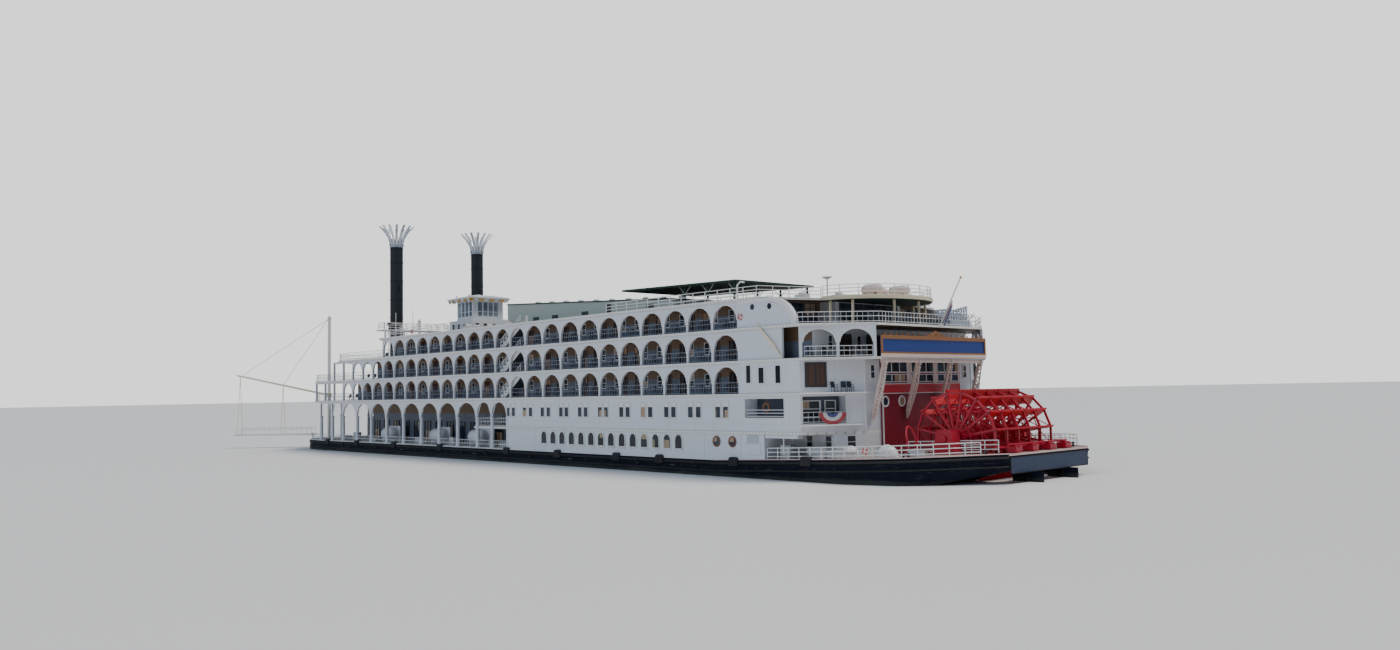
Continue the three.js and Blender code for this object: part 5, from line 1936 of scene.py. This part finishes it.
@dataclass
class RoofDeck:
    """The roof: rails, louvres, vents, the dish, awning gear, stern-roof trim and the calliope."""

    rail: Point = (100.0, 66.0, 34.0)
    louvres: Row = (6547, 6134, 5519, 4322)
    boxes: tuple[Point, ...] = (
        (7420, 500, 90), (7760, 820, 70), (8120, 400, 110), (2850, 300, 80), (2600, 620, 60),
        (2250, 520, 70), (1980, 300, 60), (7500, 1100, 60), (6700, 1050, 70))
    stays: Pairs = ((3140, 2160), (3540, 2170), (3900, 2180))
    rafts: Pairs = ((1480, -60), (1520, 300), (1740, -60))
    raft: Pairs = (
        (0, 12), (10, 34), (26, 48), (60, 52), (64, 56), (76, 56), (80, 52), (150, 52), (154, 56),
        (166, 56), (170, 52), (204, 48), (220, 34), (230, 12))

    def build(self) -> None:
        """Build the pieces."""
        z = DECK["roof"]
        arc = [(1850 - 538 * sin(a), 682 * cos(a), 1900) for a in sweep(pi, 16)]
        lines = mirrored([
            [(9420, ROOF_RAIL, z), (7560, ROOF_RAIL, z)],
            [(4300, ROOF_RAIL, z), (2070, ROOF_RAIL, z), (1870, 685, z)],
            [(3900, 745, z), (2600, 745, z)], [(9470, 1300, 2010), (9650, 1300, 2010)],
            [(9470, 290, 2010), (9470, 1300, 2010)], [(9650, 20, 2010), (9650, 1300, 2010)]])
        rails([*lines, arc], "roof_rails", self.rail, 3.6)
        Pattern(lambda m: m.box(-3, 3, -3, 3, 0, 100)).along([*lines, arc], "roof_stanchions", 164)
        m = Maker()
        for x in self.louvres:
            # The slats are painted shade, dark blue-grey, in a dark iron frame.
            for k in range(6):
                m.paint(0).box(x - 60, x + 60, 699, 706, 1932 + 13 * k, 1938 + 13 * k)
            m.paint(1).box(x - 66, x + 66, 698, 702, 1924, 2016)
        for x in (5074, 5036):
            m.paint(1).box(x - 16, x + 16, 698, 708, 1960, 2080)
        m.mirrored().finish("roof_louvres", [Paint.SHADE, Paint.IRON])
        m.slab([(3940, -712, 2042), (7212, -712, 2217), (7212, -712, 2229), (3940, -712, 2054)],
               (0, 1424, 0))
        m.finish("roof_house_cap", Paint.GREEN, slot="awning_green", bevel=3)
        for x in range(4100, 7200, 310):
            top = 2054 + (x - 3940) * 175 / 3272
            m.turned((x, 430, top), UP, [(0, 26), (18, 26), (20, 40), (34, 34), (40, 4)], 12)
        for x, y, h in self.boxes:
            m.box(x - 60, x + 60, y - 45, y + 45, z + SEAT, z + h)
            m.turned((x, y, z + h), UP, [(0, 34), (12, 34), (14, 44), (26, 30), (30, 2)], 12)
        m.mirrored().finish("roof_vents", smooth=40)
        for y in range(-560, 600, 140):
            m.tube([(3082, y, 2163), (4938, y, 2208)], 3.5, 4)
        for x, z1 in self.stays:
            for s in SIDES:
                for way in (-1, 1):
                    m.tube([(x, s * 560, z1 - 90), (x + way * 90, s * 560, z1 + 2 * way)], 3.5, 4)
        m.finish("awning_ribs", slot="awning_green")
        self._aft()

    def _aft(self) -> None:
        """Build the dish, the stern roof's lining and raft cases, and the calliope's curls."""
        m = Maker()
        for x, y in self.rafts:
            m.paint(0).turned((x - 60, y, 1962), FORWARD, self.raft, 14)
            for foot in (-20, 110):
                m.paint(1).box(x + foot, x + foot + 16, y - 46, y + 46, 1900.4, 1930)
        m.finish("raft_cases", [Paint.STRUT, Paint.BROWN], slot="cream_paint", smooth=40)
        m.tube([(2310, 1340, 1888), (2310, 1340, 2010), (2270, 1340, 2040), (2220, 1340, 2030)], 8)
        m.tube([(2375, 0, DECK["roof"]), (2375, 0, 2150)], 7, 8)
        m.turned((2375, 0, 2176), (0, 0, -1), [(0, 52), (3, 52), (10, 44), (20, 24), (26, 8)], 20)
        for x in (9300, 8800):
            for s in SIDES:
                m.tube([(x, s * 1210, DECK["roof"]), (x, s * 1210, 2240)], 4)
        m.finish("roof_masts", smooth=45)
        half = [(1850 - 544 * sin(a), 690 * cos(a)) for a in sweep(pi, 24)]
        m.slab([(x, y, 1861) for x, y in half], (0, 0, 6.6))
        m.finish("stern_roof_lining", Paint.GREEN, slot="awning_green")
        for z in (1872, 1884, 1896):
            m.tube([(x - 2, y, z) for x, y in half], 8)
        m.finish("stern_roof_edge", Paint.CREAM, slot="cream_paint", smooth=60)
        for k in range(8):
            y = -620 + 40 * k
            m.turned((1170, y, 1796 - 8 * k), UP, [(0, 11), (5, 14), (16, 14), (20, 6)], 8)
        for k in range(5):
            y = -120 - 120 * k
            m.ring((1116, y, 1716), FORWARD, 26, 4, 12, 5)
            m.ring((1116, y - 58, 1730), FORWARD, 15, 3.5, 10, 5)
        m.finish("calliope_caps", Paint.STEEL, slot="bright_metal", smooth=50)


@dataclass
class PilotHouse:
    """Panes, eaves, horns and lamps of the pilothouse, and the windows of the block below."""

    aft: float = 8830.0
    fore: float = 9345.0
    half: float = 250.0
    eaves: float = 2450.0
    overhang: float = 72.0
    roof: float = 2515.0
    sill: float = 2198.0
    head: float = 2407.0
    pane: float = 6.0

    def build(self) -> None:
        """Build the pieces."""
        sill, head, depth = self.sill, self.head, self.pane
        m = Maker()
        for s in SIDES:
            y = s * (self.half - 11)
            m.box(self.aft + 22, self.fore - 89, y - depth / 2, y + depth / 2, sill, head)
        for x in (self.aft + 11, self.fore - 11):
            m.box(x - depth / 2, x + depth / 2, -172, 172, sill, head)
        m.finish("pilot_panes", Paint.CLEAR, slot="bright_metal")
        for z in (2262, 2180, 2412):
            m.box(self.aft - 4, self.fore - 76, -self.half - 4, self.half + 4, z, z + 7)
        m.finish("pilot_mouldings")
        windows = Spots()
        for k in range(4):
            windows.both(8880 + 150 * k, 275, 2010, 0, (0.95, 1, 0.72))
        for y in (-205, -70, 70, 205):
            windows.add(8795, y, 2010, 90, (0.9, 1, 0.72))
            windows.add(9460, y, 2010, -90, (0.9, 1, 0.72))
        CABIN_WINDOW.place(windows, "bridge_windows")
        for name, paint, half, drop, pitch, inset in (
                ("gilt", Paint.GILT, 44, 46, 163, 0), ("white", Paint.TRIM, 40, 40, 81.5, 6)):
            out = self.overhang - inset
            x0, x1, y = self.aft - out, self.fore + out, self.half + out
            ring = [(x0, y, self.eaves), (x1, y, self.eaves), (x1, -y, self.eaves),
                    (x0, -y, self.eaves), (x0, y, self.eaves)]
            Pattern(lambda m: m.slab(
                [(-half, -3, 2), (-half * 0.8, -3, -drop * 0.6), (0, -3, -drop),
                 (half * 0.8, -3, -drop * 0.6), (half, -3, 2)], (0, 5, 0))).along(
                [ring], f"eave_scallops_{name}", pitch, paint)
        m.tube([(x0, y, 2470), (x1, y, 2470), (x1, -y, 2470), (x0, -y, 2470)], 6, 6, closed=True)
        middle = (self.aft + self.fore) / 2
        for s in SIDES:
            m.turned((self.fore + 10, s * 215, 2478), UP, [(0, 9), (26, 5), (30, 12), (46, 12), (52, 3)], 10)
            m.turned((9150, s * 90, 2526), (1, 0, 0.1), [(0, 5), (30, 6), (60, 17)], 10)
        m.turned((middle, 0, self.roof - 0.5), UP, [(0, 46), (12, 44), (18, 30), (24, 8)])
        m.finish("pilot_lamps", smooth=40)
        for s in SIDES:
            m.turned((9560, s * 1180, 2010), UP, [(0, 16), (60, 10), (64, 30), (104, 30), (112, 6)], 12)
            m.box(9470, 9540, s * 1120 - 50, s * 1120 + 50, 2010.4, 2090)
        m.finish("wing_lamps", Paint.IRON, slot="hull_black", smooth=40)


@dataclass
class FunnelDress:
    """Bands, rivets, collars and crown ribs of the funnels."""

    x: float = 10306.0
    y: float = 696.0
    bands: Row = (2240, 2520, 2800, 3080, 3290)
    guards: Row = (1950, 2010, 2070)
    guard: float = 122.0

    def build(self) -> None:
        """Build the pieces."""
        for side, name in NAMED_SIDES:
            y, body = side * self.y, f"{name}_funnel"
            m = Maker()
            for z in self.bands:
                m.turned((self.x, y, z), UP, [(0, 95), (1, 99), (12, 99), (13, 95)], 24)
            m.box(self.x - 116, self.x - 94, y - 12, y + 12, 2680, 2730)
            m.finish(f"{name}_funnel_bands", Paint.FUNNEL, body, "funnel_black", smooth=40)
            spots = Spots()
            for z in self.bands[:-1]:
                for a in turns(24):
                    spots.add(self.x + 98 * cos(a), y + 98 * sin(a), z + 6, degrees(a))
            Pattern(lambda m: m.turned((0, 0, 0), FORWARD, [(0, 3.4), (3, 1.2)], 6)
                    ).at(spots, f"{name}_funnel_rivets", Paint.FUNNEL, body, "funnel_black")
            m.turned((self.x, y, 3318), UP, [(0, 97), (4, 103), (18, 103), (40, 99)], 28)
            # Every other rib is dark iron: painted shade between the crown's feathers.
            for k, a in enumerate(turns(28)):
                m.paint(k % 2).tube([(self.x + r * cos(a), y + r * sin(a), z) for r, z in (
                    (99, 3330), (101, 3400), (112, 3450 if k % 2 else 3500))], [6, 5, 1.5], 5)
            m.finish(f"{name}_crown_ribs", [Paint.STEEL, Paint.IRON], body, "bright_metal", smooth=40)
            for z in self.guards:
                m.ring((self.x, y, z), UP, self.guard, 4, 20, 5)
            for a in turns(8):
                foot = (self.x + self.guard * cos(a), y + self.guard * sin(a))
                m.tube([(*foot, DECK["sun"] + STAND), (*foot, self.guards[-1])], 4, 5)
            m.finish(f"{name}_funnel_guard")


@dataclass
class BowGear:
    """Ropes, blocks and rails of the booms and landing stages."""

    pivot: Pair = (12460.0, 815.0)
    swing: dict[str, float] = field(default_factory=lambda: {"port": 44.0, "starboard": 0.0})
    heel: float = 1085.0  # the boom's height at the post
    slope: float = 0.22
    falls: Pair = (780, 1500)

    def build(self) -> None:
        """Build the pieces."""
        for side, name in NAMED_SIDES:
            a = radians(self.swing[name])

            def at(out: float, across: float, z: float) -> Point:
                """Return a place on the boom: out from the post, across the stage, and up."""
                return (self.pivot[0] + out * cos(a) - across * sin(a),
                        side * (self.pivot[1] + out * sin(a) + across * cos(a)), z)

            m = Maker()
            for out in self.falls:
                m.tube([at(26, 0, 2360), at(out, 0, self.heel + out * self.slope + 26)], 3.5, 5)
            m.finish(f"{name}_boom_ropes", Paint.ROPE, f"{name}_boom", "cream_paint")
            for across in (-89, 89):
                for z in (560, 590):
                    m.tube([at(260, across, z), at(1540, across, z)], 3.5, 5)
                for k in range(9):
                    m.tube([at(262 + 159 * k, across, 478), at(262 + 159 * k, across, 590)], 3, 5)
            m.finish(f"{name}_stage_rails", Paint.TRIM, f"{name}_boom")
            spots = Spots()
            for k in range(16):
                x, y, z = at(260 + 84 * k, 0, 480)
                spots.add(x, y, z, side * self.swing[name])
            Pattern(lambda m: m.box(-3, 3, -86, 86, -1, 4)).at(
                spots, f"{name}_stage_cleats", Paint.GREY, f"{name}_boom")
            m.turned((self.pivot[0], side * self.pivot[1], 2370), UP,
                     [(0, 30), (16, 30), (20, 18), (34, 24), (50, 2)], 12)
            m.finish(f"{name}_post_cap", smooth=50)


@dataclass
class StairRails:
    """Hand rails beside the flights of the side stairs."""

    top: float = 5960.0
    foot: float = 6390.0

    def build(self) -> None:
        """Build the pieces."""
        m = Maker()
        levels = [DECK[d] for d in ("observation", "texas", "sun", "roof")]
        for low, high in zip(levels, levels[1:]):
            for y in (1210, 1314):
                for lift in (58, 96):
                    m.tube([(self.foot, y, low + lift), (self.top, y, high + lift - 12)], 4.4, 5)
                for k in range(8):
                    x = self.foot - (self.foot - self.top) * k / 7
                    z = low + (high - low) * k / 7
                    m.tube([(x, y, z), (x, y, z + 94)], 3, 4)
        m.mirrored().finish("stair_rails")


@dataclass
class Flag:
    """A striped flag that hangs furled along the stern staff."""

    foot: Point = (1128, -125, 1614)
    head: Point = (872, -90, 2030)
    size: Pair = (230.0, 140.0)

    def build(self) -> None:
        """Build the pieces."""
        low, high = Vector(self.foot), Vector(self.head)
        along = (high - low).normalized()
        start = low + along * 62
        across = Vector((-0.10, 0.0, -1.0))
        side = along.cross(across).normalized()
        rows, columns = 15, 25
        points, stripes = [], []
        for i in range(rows):
            for k in range(columns):
                u, v = i / (rows - 1), k / (columns - 1)
                fold = 12 * sin(v * 16 + u * 1.5) * (0.3 + v)
                fall = across * (9 + v * self.size[1] * 0.42)
                points.append(tuple(start + along * (self.size[0] * u * (1 - 0.12 * v)) + fall
                                    + side * fold))
                stripes.append(v * 2.0 * 0.999)
        m = Maker()
        cloth = m.cloth(points, columns, stripes).finish("stern_flag", Paint.CLOTH, slot="facade_red",
                                                         smooth=180)
        m.turned(tuple(high), tuple(along), [(0, 7), (5, 12), (12, 12), (18, 3)], 10)
        m.finish("staff_knob", Paint.GILT, slot="bright_metal", smooth=60)


@dataclass
class Studio:
    """The pale floor at the waterline, soft lights and the photograph's camera."""

    place: Point = (-10.917, 8.127, 1.039)
    yaw: float = -42.64
    pitch: float = 3.64
    roll: float = -1.09
    focal: float = 1056.17
    width: float = 1400.0
    key: float = 2.3
    fill: float = 0.75
    ambient: float = 0.30

    def build(self) -> None:
        """Build the floor, lights and camera."""
        self._floor()
        self._lights()
        self._camera()

    def _floor(self) -> None:
        """A round sheet that runs out to the horizon."""
        data = bpy.data.meshes.new("floor")
        points = [(400 * cos(a), 400 * sin(a), WATERLINE) for a in turns(64)]
        data.from_pydata(points, [], [list(range(64))])
        s = Shader("studio_floor")
        base = s.mix(s.noise(0.4, 3.0) * 0.15, (0.88, 0.87, 0.86), (0.84, 0.84, 0.84))
        data.materials.append(s.surface(Base_Color=base, Roughness=0.55))
        floor = placed("floor", data)
        floor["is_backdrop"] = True

    def _lights(self) -> None:
        """Pale surroundings, one broad sun and a soft fill."""
        world = bpy.data.worlds.new("studio")
        bpy.context.scene.world = world
        world.use_nodes = True
        sky = Nodes(world.node_tree)
        sky.tree.nodes.clear()
        back = sky.node("ShaderNodeBackground", None, Color=(0.62, 0.78, 1.0), Strength=self.ambient)
        sight = sky.node("ShaderNodeBackground", None, Color=(0.95, 0.955, 0.96), Strength=1.5)
        seen = sky.node("ShaderNodeLightPath").outputs["Is Camera Ray"]
        pick = sky.node("ShaderNodeMixShader", None, i0=seen, i1=back.outputs[0], i2=sight.outputs[0])
        sky.node("ShaderNodeOutputWorld", None, Surface=pick.outputs[0])
        for name, energy, angle, colour, ahead in (
                ("key", self.key, 24.0, (1.0, 0.93, 0.84), (0.34, 0.30, -0.89)),
                ("fill", self.fill, 35.0, (0.76, 0.87, 1.0), (-0.08, -0.76, -0.62))):
            light = bpy.data.lights.new(name, "SUN")
            light.energy = energy
            light.angle = radians(angle)
            light.color = colour
            placed(name, light).rotation_euler = Vector(ahead).to_track_quat("-Z", "Y").to_euler()

    def _camera(self) -> None:
        """The camera fitted to the photograph."""
        yaw, pitch, roll = (radians(a) for a in (self.yaw, self.pitch, self.roll))
        ahead = Vector((cos(yaw) * cos(pitch), sin(yaw) * cos(pitch), sin(pitch)))
        right = ahead.cross(Vector(UP)).normalized()
        up = right.cross(ahead)
        side = right * cos(roll) + up * sin(roll)
        top = up * cos(roll) - right * sin(roll)
        data = bpy.data.cameras.new("camera")
        data.sensor_fit = "HORIZONTAL"
        data.sensor_width = 36.0
        data.lens = self.focal / self.width * 36.0
        data.clip_end = 2000.0
        camera = placed("camera", data)
        turn = Matrix((side, top, -ahead)).transposed().to_4x4()
        camera.matrix_world = Matrix.Translation(self.place) @ turn
        bpy.context.scene.camera = camera


@dataclass
class FramePaint:
    """The finishes of the CAD nodes that show."""

    both: dict[Paint, tuple[str, ...]] = field(default_factory=lambda: {
        Paint.HULL: ("fantail", "rudder"),
        Paint.LACE: ("observation_gallery", "texas_gallery", "sun_gallery", "colonnade",
                     "stern_gallery"),
        Paint.STAIR: ("stairs",),
        Paint.TRIM: ("kingpost", "stage"),
        Paint.CREAM: ("boom",),
        Paint.WHEEL: ("bearing",),
        Paint.FUNNEL: ("funnel_foot", "funnel"),
        Paint.STEEL: ("crown",),
    })
    single: dict[Paint, tuple[str, ...]] = field(default_factory=lambda: {
        Paint.HULL: ("hull", "transom_beam"),
        Paint.DECK: ("cabin_deck", "observation_deck", "texas_deck", "sun_deck", "roof_deck"),
        # The houses take the gallery wall's painted shade and painted warm band.
        Paint.GALLERY: ("observation_house", "texas_house", "sun_house", "fore_house"),
        Paint.LACE: ("fore_portal",),
        Paint.SHEER: ("roof_house",),
        Paint.STRUT: ("stern_struts",),
        Paint.TRIM: ("flagstaff",),
        Paint.CREAM: ("stern_roof",),
        Paint.WHEEL: ("paddle_wheel",),
        Paint.FACADE: ("stern_facade",),
        Paint.SIGN: ("stern_sign",),
        Paint.GREEN: ("awning",),
        Paint.STEEL: ("calliope",),
    })

    def build(self) -> None:
        """Give each node its finish, and white enamel to what neither plan names."""
        named = {node: paint for paint, nodes in self.single.items() for node in nodes}
        named |= {f"{side}_{node}": paint for paint, nodes in self.both.items() for node in nodes
                  for _, side in NAMED_SIDES}
        for node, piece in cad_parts.items():
            for place in piece.material_slots:
                place.material = named.get(node, Paint.WHITE).material


def main() -> None:
    """Dress the steamer piece by piece, and log the count of shown pieces after each step."""
    logging.basicConfig(level=logging.INFO, format="%(name)s: %(message)s")
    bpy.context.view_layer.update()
    builders = [
        Studio(), FramePaint(), HullTrim(), MainDeck(),
        Gallery("observation", "texas", 0, 3, (2287, 10560)),
        Gallery("texas", "sun", 2, 2, (1560, 9920), 11058), Gallery("sun", "roof", 7, 0, (2050, 9300), 9418),
        DeckEdges(), SideWalls(), SternQuarters(), Facade(), WheelDress(), Fantail(), RoofDeck(),
        PilotHouse(), FunnelDress(), BowGear(), StairRails(), Flag(),
    ]
    for builder in builders:
        builder.build()
        log.info("%s done, %d pieces", type(builder).__name__, len(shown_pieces()))


if __name__ == "__main__":
    main()
